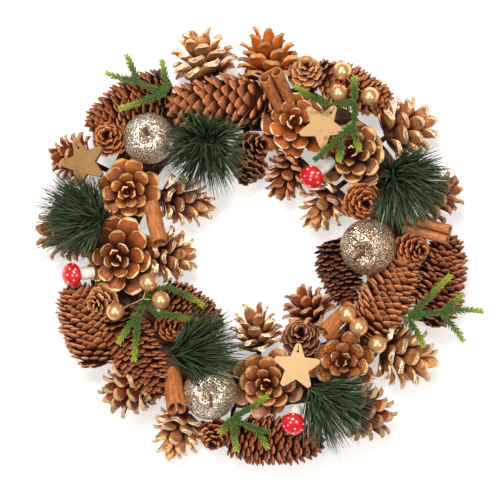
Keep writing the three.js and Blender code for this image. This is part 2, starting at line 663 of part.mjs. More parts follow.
const SPRIGS = {
  sprig_top: {
    root: [80, 115, 54],
    pinnedTo: [[82, 125, 34], "cones_upper_right"],
    shoots: [
      [-1, 0, [78, 94, 60]],
      [0, 0.9, [48, 68, 66]],
      [1, 0.35, [67, 68, 62]],
      [0, 0.9, [83, 76, 60]],
      [-1, 0, [58, 112, 53]],
      [4, 0.9, [33, 127, 54]],
      [-1, 0, [80, 134, 58]],
    ],
  },
  sprig_right: {
    root: [122, -58, 51],
    pinnedTo: [[104, -50, 38], "cones_right"],
    shoots: [
      [-1, 0, [152, -53, 55]],
      [0, 0.9, [181, -52, 51]],
      [-1, 0, [155, -24, 57]],
      [0, 0.9, [165, -39, 57]],
      [0, 0.9, [166, -75, 53]],
      [-1, 0, [134, -79, 57]],
    ],
  },
  sprig_bottom: {
    root: [-17, -136, 53],
    pinnedTo: [[-10, -153, 32], "cones_bottom"],
    shoots: [
      [-1, 0, [10, -119, 61]],
      [-1, 0, [-27, -148, 53]],
      [-1, 0, [-14, -162, 54]],
      [-1, 0, [11, -147, 57]],
      [3, 0.5, [10, -160, 55]],
    ],
  },
  sprig_left: {
    root: [-87, -41, 49],
    pinnedTo: [[-97, -37, 8], "vine_ring"],
    shoots: [
      [-1, 0, [-67, -32, 46]],
      [0, 0.9, [-41, -47, 48]],
      [-1, 0, [-76, -55, 57]],
      [2, 0.9, [-44, -59, 57]],
      [-1, 0, [-92, -54, 61]],
      [4, 0.85, [-107, -76, 63]],
      [4, 0.85, [-95, -90, 62]],
    ],
  },
  sprig_upper_left: {
    root: [-68, 123, 59],
    pinnedTo: [[-76, 127, 34], "cones_upper_left"],
    shoots: [
      [-1, 0, [-73, 147, 52]],
      [-1, 0, [-94, 131, 58]],
      [1, 0.9, [-101, 151, 57]],
      [1, 0.9, [-117, 137, 55]],
      [-1, 0, [-106, 109, 58]],
    ],
  },
};
for (const [name, one] of Object.entries(SPRIGS)) lay(name, "sprig", sprig(one));

const TUFTS = [
  { name: "tuft_top", heart: [-38, 82, 50], combed: [0, -0.35, 0.3], stem: [-52, 96, 8], length: 43 },
  { name: "tuft_right", heart: [114, 55, 50], combed: [0.3, -0.3, 0.3], stem: [98, 47, 8], length: 44 },
  { name: "tuft_bottom", heart: [52, -119, 50], combed: [0.45, -0.4, 0.3], stem: [48, -106, 8], length: 43 },
  { name: "tuft_inner", heart: [-54, -84, 50], combed: [0.55, 0.05, 0.3], stem: [-60, -92, 8], length: 42 },
  { name: "tuft_left", heart: [-126, 22, 53], combed: [-0.6, 0.1, 0.25], stem: [-116, 21, 8], length: 50 },
];
TUFTS.forEach((one, i) => lay(one.name, "pine", tuft({ ...one, seed: 11 + i })));

// Cuts each piece clear of the ones in front, keeps the body that is left, and names it.
const wreath = new THREE.Group();
wreath.position.set(-MIDDLE[0], -MIDDLE[1], 0);
const finished = {};
const inFront = [];
const boxesMeet = (a, b) => [0, 1, 2].every((n) => a.min[n] < b.max[n] && b.min[n] < a.max[n]);
const cutOnce = (left, one) => (boxesMeet(left.boundingBox(), one.boundingBox()) ? left.subtract(one) : left);
const cut = (solid, others) => others.reduce(cutOnce, solid);
const largest = (solid) => solid.decompose().reduce((a, b) => (a.volume() > b.volume() ? a : b));
const joinAll = (solids) => solids.reduce((a, b) => a.add(b));
const WAYS = [[1, 0, 0], [-1, 0, 0], [0, 1, 0], [0, -1, 0], [0, 0, 1], [0, 0, -1]];

// The piece itself, moved a clearance each way, for what is fitted closely to it.
const closely = (solid) => WAYS.map((way) => solid.translate(way.map((step) => step * CLEARANCE)));

for (const { name, finish, parts, stalks } of laid) {
  const pinned = parts.filter((one) => one.on);
  const free = parts.filter((one) => !one.on);
  // Cones that share a stalk are cut clear of each other too, and the stalk holds them together.
  const shaped = free.map(({ solid }, i) => {
    const earlier = free.slice(0, i).map((one) => one.envelope);
    return stalks.length ? cut(solid, earlier) : solid;
  });
  const whole = joinAll([...shaped, ...stalks.map((one) => one.solid)]);
  const seated = cut(whole, inFront.map((one) => one.envelope));
  const pins = pinned.map(({ solid, on }) => {
    const others = inFront.filter((one) => one.name !== on).map((one) => one.envelope);
    return cut(solid, [...others, ...closely(finished[on])]);
  });
  const body = joinAll([seated, ...pins]);
  inFront.push(...[...parts, ...stalks].map(({ envelope }) => ({ name, envelope })));
  finished[name] = largest(body);
  const [colour, roughness, metalness] = COLOURS[finish];
  const material = new THREE.MeshStandardMaterial({ color: colour, roughness, metalness });
  const mesh = new THREE.Mesh(geometryOf(finished[name]), material);
  mesh.name = name;
  wreath.add(mesh);
}

export default wreath;
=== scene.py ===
import math
import random

import bmesh
import bpy
from mathutils import Matrix, Vector


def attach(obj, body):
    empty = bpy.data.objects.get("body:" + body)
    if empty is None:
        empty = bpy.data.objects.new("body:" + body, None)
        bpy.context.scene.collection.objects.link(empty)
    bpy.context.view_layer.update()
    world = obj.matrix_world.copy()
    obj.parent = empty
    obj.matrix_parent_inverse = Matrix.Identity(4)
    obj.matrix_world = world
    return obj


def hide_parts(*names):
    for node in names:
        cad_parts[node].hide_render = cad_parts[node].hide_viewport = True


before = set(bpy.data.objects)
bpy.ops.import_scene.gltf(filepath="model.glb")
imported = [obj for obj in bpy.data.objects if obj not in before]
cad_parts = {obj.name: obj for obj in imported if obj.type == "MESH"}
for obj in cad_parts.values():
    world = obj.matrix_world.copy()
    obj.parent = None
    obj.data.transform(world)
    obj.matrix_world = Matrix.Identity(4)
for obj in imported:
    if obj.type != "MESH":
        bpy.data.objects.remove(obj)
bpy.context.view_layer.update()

# The view. The wreath lies on a pale floor and is seen from straight above, under a wide soft
# lamp beyond its top edge and two smaller ones that stand left and right of the camera.
MM = 0.001
MIDDLE = Vector((1.95, 0.9, 0))  # the dressed wreath's middle, from the middle of its vine ring
VIEW_MIDDLE = (-3.2, -3.2, 35)
VIEW_WIDTH = 400  # millimetres across the picture, at the height of the cones
CAMERA_DISTANCE = 2.4
FLOOR_DROP = 0.4


def at(place):
    """A place in millimetres from the middle of the vine ring, as a point of the frame."""
    return (Vector(place) - MIDDLE) * MM


def paint(red, green, blue):
    """A colour as a paint chart gives it, from 0 to 255, turned into light values."""
    return tuple(((part / 255 + 0.055) / 1.055) ** 2.4 for part in (red, green, blue)) + (1,)


def wire(tree, kind, inputs, **settings):
    """Adds a node to a tree. Each input is given a value, or another node's output."""
    made = tree.nodes.new("ShaderNode" + kind)
    for key, value in settings.items():
        setattr(made, key, value)
    for socket, value in inputs.items():
        if isinstance(value, bpy.types.NodeSocket):
            tree.links.new(value, made.inputs[socket])
        else:
            made.inputs[socket].default_value = value
    return made


def finish(name, **plain):
    """A new material: its node tree and its surface shader, with the plain values set."""
    made = bpy.data.materials.new(name)
    made.use_nodes = True
    surface = made.node_tree.nodes["Principled BSDF"]
    for socket, value in plain.items():
        surface.inputs[socket.replace("_", " ")].default_value = value
    return made, made.node_tree, surface


def cast(bm, name):
    """Turns what was modelled into a mesh."""
    made = bpy.data.meshes.new(name)
    bm.to_mesh(made)
    bm.free()
    return made


eye = bpy.data.objects.new("eye", bpy.data.cameras.new("eye"))
eye.location = at(VIEW_MIDDLE) + Vector((0, 0, CAMERA_DISTANCE))
eye.data.lens = eye.data.sensor_width * CAMERA_DISTANCE / (VIEW_WIDTH * MM)
eye.data.clip_end = 20
bpy.context.scene.collection.objects.link(eye)
bpy.context.scene.camera = eye
bpy.context.scene.view_settings.view_transform = "Standard"

LAMPS = [
    ("top_softbox", (-0.3, 0.9, 2.0), 0.7, 44),
    ("left_lamp", (-0.9, -0.3, 1.9), 0.5, 11),
    ("right_lamp", (0.9, -0.3, 1.9), 0.5, 11),
]
for name, place, size, power in LAMPS:
    lamp = bpy.data.objects.new(name, bpy.data.lights.new(name, "AREA"))
    lamp.data.size = size
    lamp.data.energy = power
    lamp.data.color = (1, 0.97, 0.93)
    lamp.location = place
    lamp.rotation_euler = (-Vector(place)).to_track_quat("-Z", "Y").to_euler()
    bpy.context.scene.collection.objects.link(lamp)

sky = bpy.data.worlds.new("studio")
sky.use_nodes = True
sky.node_tree.nodes["Background"].inputs["Color"].default_value = (1, 0.95, 0.9, 1)
sky.node_tree.nodes["Background"].inputs["Strength"].default_value = 0.3
bpy.context.scene.world = sky

bm = bmesh.new()
bmesh.ops.create_grid(bm, x_segments=1, y_segments=1, size=3)
bmesh.ops.translate(bm, vec=(0, 0, -FLOOR_DROP * MM), verts=bm.verts[:])
floor = bpy.data.objects.new("floor", cast(bm, "floor"))
floor_paint, tree, surface = finish(
    "floor_paint", Roughness=0.9, Base_Color=(0.7, 0.7, 0.7, 1),
    Emission_Color=(1, 0.99, 0.98, 1), Emission_Strength=0.5,
)
floor.data.materials.append(floor_paint)
bpy.context.scene.collection.objects.link(floor)


# Vine ring. Dry vines wound round and round each other into a ring, and pressed flat behind.
# The real one is bent green and dries hard; everything else is glued and wired to it.
RING_RADIUS = 114
RING_HALF_WIDTH = 20
RING_HALF_HEIGHT = 10
RING_HEIGHT = 8
VINES = 56
VINE_STEPS = 110
VINE_SIDES = 6
BUNDLE_STEPS = 60
BUNDLE_SIDES = 12


def on_piece(tree):
    """Places on the piece itself, in metres, which its patterns are laid out by."""
    return wire(tree, "TexCoord", {}).outputs["Object"]


def ramp(tree, value, low, high):
    """Runs smoothly from 0 where value is low to 1 where it is high."""
    inputs = {"Value": value, "From Min": low, "From Max": high}
    return wire(tree, "MapRange", inputs, interpolation_type="SMOOTHSTEP").outputs["Result"]


def sums(tree, operation, first, second=0.0):
    """One step of arithmetic on what two nodes put out, or on one of them and a number."""
    return wire(tree, "Math", {0: first, 1: second}, operation=operation).outputs[0]


def mixed(tree, share, first, second):
    """One colour over another, by a share from 0 to 1."""
    return wire(tree, "Mix", {0: share, 6: first, 7: second}, data_type="RGBA").outputs[2]


def noise(tree, vector, scale, detail, rough=0.55):
    """A cloudy pattern of values between 0 and 1."""
    inputs = {"Vector": vector, "Scale": scale, "Detail": detail, "Roughness": rough}
    return wire(tree, "TexNoise", inputs).outputs[0]


def bumped(tree, surface, height, distance):
    """Lets a height pattern, distance metres high, tilt the surface."""
    made = wire(tree, "Bump", {"Height": height, "Distance": distance, "Strength": 0.8})
    tree.links.new(made.outputs["Normal"], surface.inputs["Normal"])


def keep(name, bm, material, slot, *nodes, sharp=40):
    """Moves a finished piece from millimetres to its place in the frame, gives it its finish, and hides
    the nodes of the model that it stands in for.
    """
    for vert in bm.verts:
        vert.co = at((vert.co.x, vert.co.y, max(0, vert.co.z)))
    mesh = cast(bm, name)
    mesh.shade_smooth()
    mesh.set_sharp_from_angle(angle=math.radians(sharp))
    mesh.materials.append(material)
    piece = bpy.data.objects.new(name, mesh)
    bpy.context.scene.collection.objects.link(piece)
    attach(piece, "root")
    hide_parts(*nodes)


def lay_in(whole, part):
    """Adds a part that was modelled on its own to the piece it belongs to."""
    made = cast(part, "part")
    whole.from_mesh(made)
    bpy.data.meshes.remove(made)


vine_bark, tree, surface = finish("vine_bark", Roughness=0.88)
place = on_piece(tree)
tone = wire(tree, "Attribute", {}, attribute_name="tone").outputs["Fac"]
knots = noise(tree, place, 260, 4)
flakes = noise(tree, place, 1500, 2)
bark = mixed(tree, ramp(tree, knots, 0.3, 0.7), paint(46, 30, 21), paint(122, 86, 58))
bark = mixed(tree, ramp(tree, tone, 0, 1), bark, paint(92, 56, 36))
bark = mixed(tree, ramp(tree, flakes, 0.55, 0.75), bark, paint(150, 120, 90))
tree.links.new(bark, surface.inputs["Base Color"])
bumped(tree, surface, sums(tree, "ADD", knots, flakes), 0.4 * MM)

draw = random.Random(4)
vines = bmesh.new()
for number in range(VINES):
    vine = bmesh.new()
    vine_tone = vine.verts.layers.float.new("tone")
    thick = draw.uniform(1.5, 2.9)
    turns = draw.choice([2, 3, 3, 4])
    start = draw.uniform(0, 2 * math.pi)
    depth = math.sqrt(draw.uniform(0.05, 1))
    sway = draw.uniform(0, 2 * math.pi)
    tone_here = draw.random()
    rings = []
    for step in range(VINE_STEPS):
        along = 2 * math.pi * step / VINE_STEPS
        round_it = start + turns * along + 0.25 * math.sin(5 * along + sway)
        reach = depth * (0.94 + 0.06 * math.sin(7 * along + 2 * sway))
        away = RING_RADIUS + (RING_HALF_WIDTH + 2 - thick) * reach * math.cos(round_it)
        height = RING_HEIGHT + (RING_HALF_HEIGHT - thick) * reach * math.sin(round_it)
        height = max(height, thick)
        centre = Vector((away * math.cos(along), away * math.sin(along), height))
        outward = Vector((math.cos(along), math.sin(along), 0))
        facing = Matrix((outward, Vector((0, 0, 1)), Vector((0, 0, 0)))).transposed().to_4x4()
        made = bmesh.ops.create_circle(vine, segments=VINE_SIDES, radius=thick)["verts"]
        bmesh.ops.transform(vine, matrix=Matrix.Translation(centre) @ facing, verts=made)
        for vert in made:
            vert[vine_tone] = tone_here
        rings.append(vine.edges[-VINE_SIDES:])
    for ring, after in zip(rings, rings[1:] + rings[:1]):
        bmesh.ops.bridge_loops(vine, edges=ring + after)
    bmesh.ops.recalc_face_normals(vine, faces=vine.faces[:])
    lay_in(vines, vine)
bundle = bmesh.new()
bmesh.ops.create_circle(bundle, segments=BUNDLE_SIDES, radius=1)
flattened = Matrix.Diagonal((0.8 * RING_HALF_WIDTH, 0.7 * RING_HALF_HEIGHT, 1, 1))
upright = Matrix.Translation((RING_RADIUS, 0, RING_HEIGHT)) @ Matrix.Rotation(math.pi / 2, 4, "X")
bmesh.ops.transform(bundle, matrix=upright @ flattened, verts=bundle.verts[:])
bmesh.ops.spin(
    bundle, geom=bundle.verts[:] + bundle.edges[:], cent=(0, 0, 0), axis=(0, 0, 1),
    angle=2 * math.pi, steps=BUNDLE_STEPS, use_merge=True,
)
bmesh.ops.remove_doubles(bundle, verts=bundle.verts[:], dist=0.001)
bmesh.ops.recalc_face_normals(bundle, faces=bundle.faces[:])
lay_in(vines, bundle)
keep("vine_ring_vines", vines, vine_bark, "vine", "vine_ring", sharp=75)


# Long spruce cones. Dry brown cones, closed, whose broad thin scales lie over each other like
# shingles and leave dark gaps. Each is glued on its side, and some share a node with others.
GOLDEN_TURN = math.radians(137.508)  # from one scale of a cone to the next, as cones grow
STUB = 2.4  # radius of the stub that roots a cone in the ring
LIFTED = 0.14  # a cone whose scales lift by more than this share of its length has broad ones
BROAD_SCALES = 1.6  # to a millimetre of such a cone's length
NARROW_SCALES = 3.0  # to a millimetre of any other


def leafed():
    """An empty mesh whose points keep their place on their own leaf, and that leaf's tone."""
    bm = bmesh.new()
    bm.verts.layers.float_vector.new("leaf")
    bm.verts.layers.float.new("tone")
    return bm


def carve(across, along, shape):
    """One scale: a thin slab whose points shape puts in place, by their share of the way from
    edge to edge, from root to tip and from its upper to its under side. They are kept as leaf."""
    bm = leafed()
    bmesh.ops.create_grid(bm, x_segments=across, y_segments=along, size=1)
    bmesh.ops.solidify(bm, geom=bm.faces[:], thickness=1)
    leaf = bm.verts.layers.float_vector["leaf"]
    for vert in bm.verts:
        share = (vert.co.x, (vert.co.y + 1) / 2, -vert.co.z)
        vert[leaf] = share
        vert.co = shape(*share)
    bmesh.ops.recalc_face_normals(bm, faces=bm.faces[:])
    return cast(bm, "scale")


def grow(bm, scale, root, tip, aside, width, depth, tone):
    """Adds a copy of a scale that runs from root to tip, as wide as width on each side."""
    along = tip - root
    up = aside.cross(along).normalized()
    across = along.cross(up).normalized()
    facing = Matrix((across * width, along, up * depth)).transposed().to_4x4()
    copy = scale.copy()
    copy.transform(Matrix.Translation(root) @ facing)
    copy.attributes["tone"].data.foreach_set("value", [tone] * len(copy.vertices))
    bm.from_mesh(copy)
    bpy.data.meshes.remove(copy)


def upright_to(axis):
    """Turns what stands upright so that it stands along an axis."""
    return Vector((0, 0, 1)).rotation_difference(axis).to_matrix()


def rod(bm, start, end, radius, end_radius, sides):
    """A round stick from start to end, in millimetres."""
    start, end = Vector(start), Vector(end)
    facing = (end - start).to_track_quat("Z", "Y").to_matrix().to_4x4()
    bmesh.ops.create_cone(
        bm, cap_ends=True, segments=sides, radius1=radius, radius2=end_radius,
        depth=(end - start).length, matrix=Matrix.Translation((start + end) / 2) @ facing,
    )


def turned(bm, profile, foot, axis, sides=12):
    """Turns a profile of radius and height, in millimetres, round an axis that starts at foot.
    It is the first thing made in bm."""
    line = [bm.verts.new((radius, 0, height)) for radius, height in profile]
    edges = [bm.edges.new(pair) for pair in zip(line, line[1:])]
    bmesh.ops.spin(
        bm, geom=line + edges, cent=(0, 0, 0), axis=(0, 0, 1), angle=2 * math.pi, steps=sides,
        use_merge=True,
    )
    bmesh.ops.remove_doubles(bm, verts=bm.verts[:], dist=0.001)
    bmesh.ops.recalc_face_normals(bm, faces=bm.faces[:])
    stood = Matrix.Translation(foot) @ upright_to(axis).to_4x4()
    bmesh.ops.transform(bm, matrix=stood, verts=bm.verts[:])


def in_ring(foot):
    """The nearest place inside the vine ring to a piece's foot."""
    away = math.hypot(foot[0], foot[1])
    side = max(-0.6 * RING_HALF_WIDTH, min(0.6 * RING_HALF_WIDTH, away - RING_RADIUS))
    share = (RING_RADIUS + side) / away
    return foot[0] * share, foot[1] * share, 0.9 * RING_HALF_HEIGHT


def cone(foot, tip, scales, count, core, core_share, reach, rise, width, depth, seed, loose,
         twist=0.1, slant=0.0):
    """A cone's core, its scales in a spiral round it, and the stub that roots it in the ring.
    What runs along the cone is given as a rule by the share of the way from foot to tip."""
    draw = random.Random(seed)
    foot, tip = Vector(foot), Vector(tip)
    length = (tip - foot).length
    axis = (tip - foot) / length
    turn = upright_to(axis)
    bm = leafed()
    top = core_share * length
    sides = [(core(step / 6), top * step / 6) for step in range(7)]
    turned(bm, [(0, -0.05 * top), (0.7 * core(0), -0.04 * top), *sides, (0, top * 1.02)], foot, axis)
    rod(bm, in_ring(foot), foot + 2 * axis, STUB, STUB, 6)
    start = draw.uniform(0, 2 * math.pi)
    for number in range(count):
        share = (number + 0.2) / count
        angle = start + number * GOLDEN_TURN
        outward = turn @ Vector((math.cos(angle), math.sin(angle), 0))
        aside = turn @ Vector((math.sin(angle), -math.cos(angle), 0))
        base = foot + axis * top * share + outward * 0.8 * core(share)
        slip = draw.uniform(1 - loose, 1 + loose)
        lift = draw.uniform(-loose, loose)
        end = foot + axis * (top * share + (rise(share) + lift * 0.3) * length)
        end += outward * reach(share) * slip
        aside = (aside + axis * (slant + draw.uniform(-twist, twist))).normalized()
        wide = width(share) * draw.uniform(0.94, 1.06)
        grow(bm, draw.choice(scales), base, end, aside, wide, depth(share), draw.random())
    return bm


def leaf_of(tree):
    """What carve kept: across, along and under, and the tone of each single scale."""
    made = wire(tree, "Attribute", {}, attribute_name="leaf")
    tone = wire(tree, "Attribute", {}, attribute_name="tone")
    return made.outputs["Vector"], tone.outputs["Fac"]


def effect(name, taken, told):
    """An effect that several finishes share, as a node group with named sockets. Gives back the
    group and what it takes in, as seen from inside."""
    group = bpy.data.node_groups.new(name, "ShaderNodeTree")
    for way, sockets in (("INPUT", taken), ("OUTPUT", told)):
        for socket, kind in sockets.items():
            group.interface.new_socket(name=socket, in_out=way, socket_type="NodeSocket" + kind)
    return group, group.nodes.new("NodeGroupInput").outputs


def tell(group, **values):
    """Leads what a shared effect has made to its outputs."""
    told = group.nodes.new("NodeGroupOutput").inputs
    for socket, value in values.items():
        group.links.new(value, told[socket])
    return group


def scale_skin():
    """The shared look of a dry scale: streaked, darker towards its root in painted shade where the
    scales overlap, and paler along its free edge, partly its own colour and partly a painted highlight.
    """
    taken = {
        "Leaf": "Vector", "Tone": "Float", "Root": "Color", "Body": "Color", "Rim": "Color",
        "Fade From": "Float", "Fade To": "Float", "Rim Width": "Float", "Rim Share": "Float",
    }
    told = {"Color": "Color", "Height": "Float", "Edge": "Float", "Patches": "Float"}
    group, given = effect("scale_skin", taken, told)
    leaf = wire(group, "SeparateXYZ", {0: given["Leaf"]}).outputs
    apart = sums(group, "MULTIPLY", given["Tone"], 37.0)
    long_way = sums(group, "MULTIPLY", leaf[1], 0.9)
    fine_way = sums(group, "MULTIPLY", leaf[0], 6.0)
    streak_at = wire(group, "CombineXYZ", {0: fine_way, 1: long_way, 2: apart}).outputs[0]
    patch_at = wire(group, "CombineXYZ", {0: leaf[0], 1: leaf[1], 2: apart}).outputs[0]
    streaks = noise(group, streak_at, 1.7, 4)
    patches = noise(group, patch_at, 2.6, 4)
    # The pale free edge: partly the scale's own colour, partly a painted highlight.
    sides = sums(group, "MULTIPLY", sums(group, "ABSOLUTE", leaf[0]), ramp(group, leaf[1], 0.48, 0.76))
    edge = sums(group, "MAXIMUM", sides, leaf[1])
    inner = sums(group, "SUBTRACT", 1.0, given["Rim Width"])
    rim = ramp(group, edge, inner, sums(group, "MULTIPLY", sums(group, "ADD", inner, 1.0), 0.5))
    streaked = sums(group, "MULTIPLY", ramp(group, streaks, 0.4, 0.75), 0.6)
    body = mixed(group, streaked, given["Body"], given["Root"])
    patchy = sums(group, "MULTIPLY", ramp(group, patches, 0.35, 0.65), 0.6)
    body = mixed(group, patchy, body, given["Body"])
    # Painted shade: the colour runs dark towards each scale's root, so that the gaps where scales overlap
    # look shaded.
    root_shade_fade = ramp(group, leaf[1], given["Fade From"], given["Fade To"])
    colour = mixed(group, root_shade_fade, given["Root"], body)
    rim = sums(group, "MULTIPLY", rim, given["Rim Share"])
    rim = sums(group, "MULTIPLY", rim, sums(group, "ADD", ramp(group, patches, 0.25, 0.6), 0.35))
    colour = mixed(group, rim, colour, given["Rim"])
    bright = sums(group, "ADD", sums(group, "MULTIPLY", given["Tone"], 0.5), 0.72)
    lit = wire(group, "VectorMath", {0: colour, "Scale": bright}, operation="SCALE").outputs[0]
    uneven = sums(group, "ADD", streaks, patches)
    return tell(group, Color=lit, Height=uneven, Edge=edge, Patches=patches)


SKIN = scale_skin()


def skinned(tree, root, body, rim, fade, rim_width, rim_share):
    """The scale skin in a material's tree, with that material's colours."""
    leaf, tone = leaf_of(tree)
    inputs = {
        "Leaf": leaf, "Tone": tone, "Root": root, "Body": body, "Rim": rim, "Fade From": fade[0],
        "Fade To": fade[1], "Rim Width": rim_width, "Rim Share": rim_share,
    }
    return wire(tree, "Group", inputs, node_tree=SKIN).outputs


def dry_scales(name, root, body, rim, fade, rim_width, rim_share):
    """Bare cone scales, dry and dull."""
    made, tree, surface = finish(name, Roughness=0.5, Specular_IOR_Level=0.15)
    skin = skinned(tree, root, body, rim, fade, rim_width, rim_share)
    tree.links.new(skin["Color"], surface.inputs["Base Color"])
    bumped(tree, surface, skin["Height"], 0.35 * MM)
    return made


def shingle(across, along, under):
    """A broad scale that bulges outwards, with a blunt point."""
    half = 1 - 0.78 * max(0, (along - 0.42) / 0.58) ** 1.3
    lip = 1 - 0.1 * across * across * along
    bulge = -0.8 * (1 - across * across) * math.sin(0.68 * math.pi * along)
    return across * half, along * lip, bulge - under * (0.4 + 0.15 * along)


def swell(share):
    """How a long cone swells from its foot and narrows to its tip."""
    full = math.sqrt(max(0.12, 1 - ((share - 0.38) / 0.7) ** 2))
    return full * (0.8 + share if share < 0.2 else 1)


# Their dark root colours and late fades paint shade into the gaps between overlapping scales.
TAN_SPRUCE = dry_scales(
    "tan_spruce_scales", paint(62, 25, 13), paint(174, 103, 63), paint(208, 146, 101),
    (0.48, 0.9), 0.08, 0.5,
)
RED_SPRUCE = dry_scales(
    "red_spruce_scales", paint(46, 17, 9), paint(152, 80, 47), paint(198, 132, 92),
    (0.51, 0.92), 0.08, 0.5,
)
DARK_SPRUCE = dry_scales(
    "dark_spruce_scales", paint(20, 6, 4), paint(98, 46, 32), paint(170, 110, 82),
    (0.56, 0.98), 0.08, 0.5,
)

LONG_CONES = {
    "spruce_cone_top": ("spruce_cone_top", (11, 118, 37), (-69, 111, 37), 21, 0.17, TAN_SPRUCE),
    "long_cone_lower_left": ("cones_lower_left", (-110, -54, 36), (-74, -125, 36), 19, 0.1, RED_SPRUCE),
    "long_cone_far_left": ("cones_lower_left", (-124, -94, 27), (-146, -30, 27), 21, 0.14, TAN_SPRUCE),
    "long_cone_right": ("cones_right", (92, -72, 36), (122, -6, 36), 21, 0.13, TAN_SPRUCE),
    "spruce_cone_right": ("spruce_cone_right", (144, -62, 25), (157, 13, 25), 20, 0.1, RED_SPRUCE),
    "spruce_cone_inner_right": ("spruce_cone_inner_right", (61, 2, 26), (79, -51, 26), 17, 0.09, DARK_SPRUCE),
    "long_cone_inner_left": ("cones_inner_left", (-72, -37, 24), (-24, -67, 24), 16, 0.08, RED_SPRUCE),
    "long_cone_upper_left": ("cones_upper_left", (-70, 131, 28), (-134, 92, 28), 20, 0.11, RED_SPRUCE),
    "long_cone_upper_right": ("cones_upper_right", (51, 139, 30), (111, 112, 30), 17, 0.12, TAN_SPRUCE),
    "long_cone_bottom": ("cones_bottom", (-20, -155, 27), (60, -157, 27), 20, 0.09, RED_SPRUCE),
}


def plate(across, along, under):
    """A wide scale, plump along its middle, with a shallow point."""
    half = 1 - 0.7 * max(0, (along - 0.45) / 0.55) ** 1.6
    lip = 1 - 0.16 * across * across * along
    bulge = -0.75 * (1 - across * across) * math.sin(0.68 * math.pi * along)
    return across * half, along * lip, bulge - under * (0.35 + 0.25 * along)


shingles = [carve(4, 5, shingle)]
plates = [carve(4, 5, plate)]
for seed, (name, (node, foot, tip, radius, lift, material)) in enumerate(LONG_CONES.items()):
    length = (Vector(tip) - Vector(foot)).length
    broad = lift > LIFTED
    count = round((BROAD_SCALES if broad else NARROW_SCALES) * length)
    bm = cone(
        foot, tip, shingles if broad else plates, count, seed=20 + seed, core_share=0.88,
        core=lambda t: 0.62 * radius * swell(t),
        reach=lambda t: radius * swell(t) * (1.06 - 0.1 * t) * (1 - 0.5 * max(0, t - 0.92) / 0.08),
        rise=lambda t: lift * min(1, t / 0.12) - 0.01,
        width=lambda t: (7.0 if broad else 5.2) * (0.5 + 0.5 * swell(t)) * radius / 20,
        depth=lambda t: 2.1 if broad else 1.7,
        loose=0.08, twist=0.12, slant=0.12 if broad else 0.2,
    )
    keep(name + "_scales", bm, material, "spruce_scales", node, sharp=50)


# Open pine cones. Dry and woody, and some of them brushed with gold. They are glued on their side
# and point out of the ring or into its hole, and show the scales that stand out from the core,
# each ending in a thick blunt tip.
WOODY_SCALES = 30  # on each open cone


def gold_brushing():
    """Gold paint on scales: it covers their tips, misses their roots, and is pale cream on their lips
    and folds, a painted highlight.
    """
    taken = {
        "Place": "Vector", "Leaf": "Vector", "Patches": "Float", "Bare": "Color",
        "Bare Height": "Float", "Gold": "Color", "Cover": "Float",
    }
    told = {"Color": "Color", "Metallic": "Float", "Roughness": "Float", "Height": "Float"}
    group, given = effect("gold_brushing", taken, told)
    parted = wire(group, "SeparateXYZ", {0: given["Leaf"]}).outputs
    wrinkles = noise(group, given["Place"], 420, 3)
    spread = sums(group, "ADD", parted[1], sums(group, "MULTIPLY", given["Patches"], 0.5))
    reached = ramp(group, spread, given["Cover"], sums(group, "ADD", given["Cover"], 0.3))
    shine = mixed(group, ramp(group, wrinkles, 0.35, 0.7), given["Gold"], paint(224, 166, 110))
    # Painted highlight: the lens rims and the folds of each scale's lip are painted pale cream.
    from_middle = sums(group, "ABSOLUTE", sums(group, "SUBTRACT", parted[2], 0.5))
    folds = ramp(group, wrinkles, 0.5, 0.66)
    lips = sums(group, "MAXIMUM", ramp(group, from_middle, 0.1, 0.4), folds)
    painted_lip_highlight = sums(group, "MULTIPLY", lips, ramp(group, parted[1], 0.86, 0.98))
    shine = mixed(group, painted_lip_highlight, shine, paint(255, 230, 192))
    return tell(
        group, Color=mixed(group, reached, given["Bare"], shine),
        Metallic=sums(group, "MULTIPLY", reached, 0.6),
        Roughness=sums(group, "SUBTRACT", 0.62, sums(group, "MULTIPLY", reached, 0.3)),
        Height=sums(group, "ADD", given["Bare Height"], wrinkles),
    )


GOLD_BRUSHING = gold_brushing()


def brushed_scales(name, root, body, gold, cover):
    """Cone scales brushed with gold paint, more of them where cover is low."""
    made, tree, surface = finish(name)
    skin = skinned(tree, root, body, body, (0.1, 0.75), 0.1, 0.2)
    inputs = {
        "Place": on_piece(tree), "Leaf": leaf_of(tree)[0], "Patches": skin["Patches"],
        "Bare": skin["Color"], "Bare Height": skin["Height"], "Gold": gold, "Cover": cover,
    }
    brushed = wire(tree, "Group", inputs, node_tree=GOLD_BRUSHING).outputs
    tree.links.new(brushed["Color"], surface.inputs["Base Color"])
    tree.links.new(brushed["Metallic"], surface.inputs["Metallic"])
    tree.links.new(brushed["Roughness"], surface.inputs["Roughness"])
    bumped(tree, surface, brushed["Height"], 0.6 * MM)
    return made


def spoon(cup, curl):
    """A woody scale: a narrow flat shank that widens to its end, which is a thick lens of a lip."""
    def shape(across, along, under):
        open_up = math.sin(math.pi / 2 * min(1, along / 0.75))
        half = (0.36 + 0.64 * open_up) * (1 - 0.3 * max(0, (along - 0.75) / 0.25) ** 2)
        lip = max(0, along - 0.8) / 0.2
        thick = 0.26 + 0.12 * along + 0.6 * lip * (1 - 1.1 * across * across)
        height = cup * across * across * along + curl * math.sin(math.pi * along)
        pointed = 1 - 0.16 * across * across * along - 0.05 * abs(2 * under - 1)
        return across * half, along * pointed, height - under * thick
    return shape


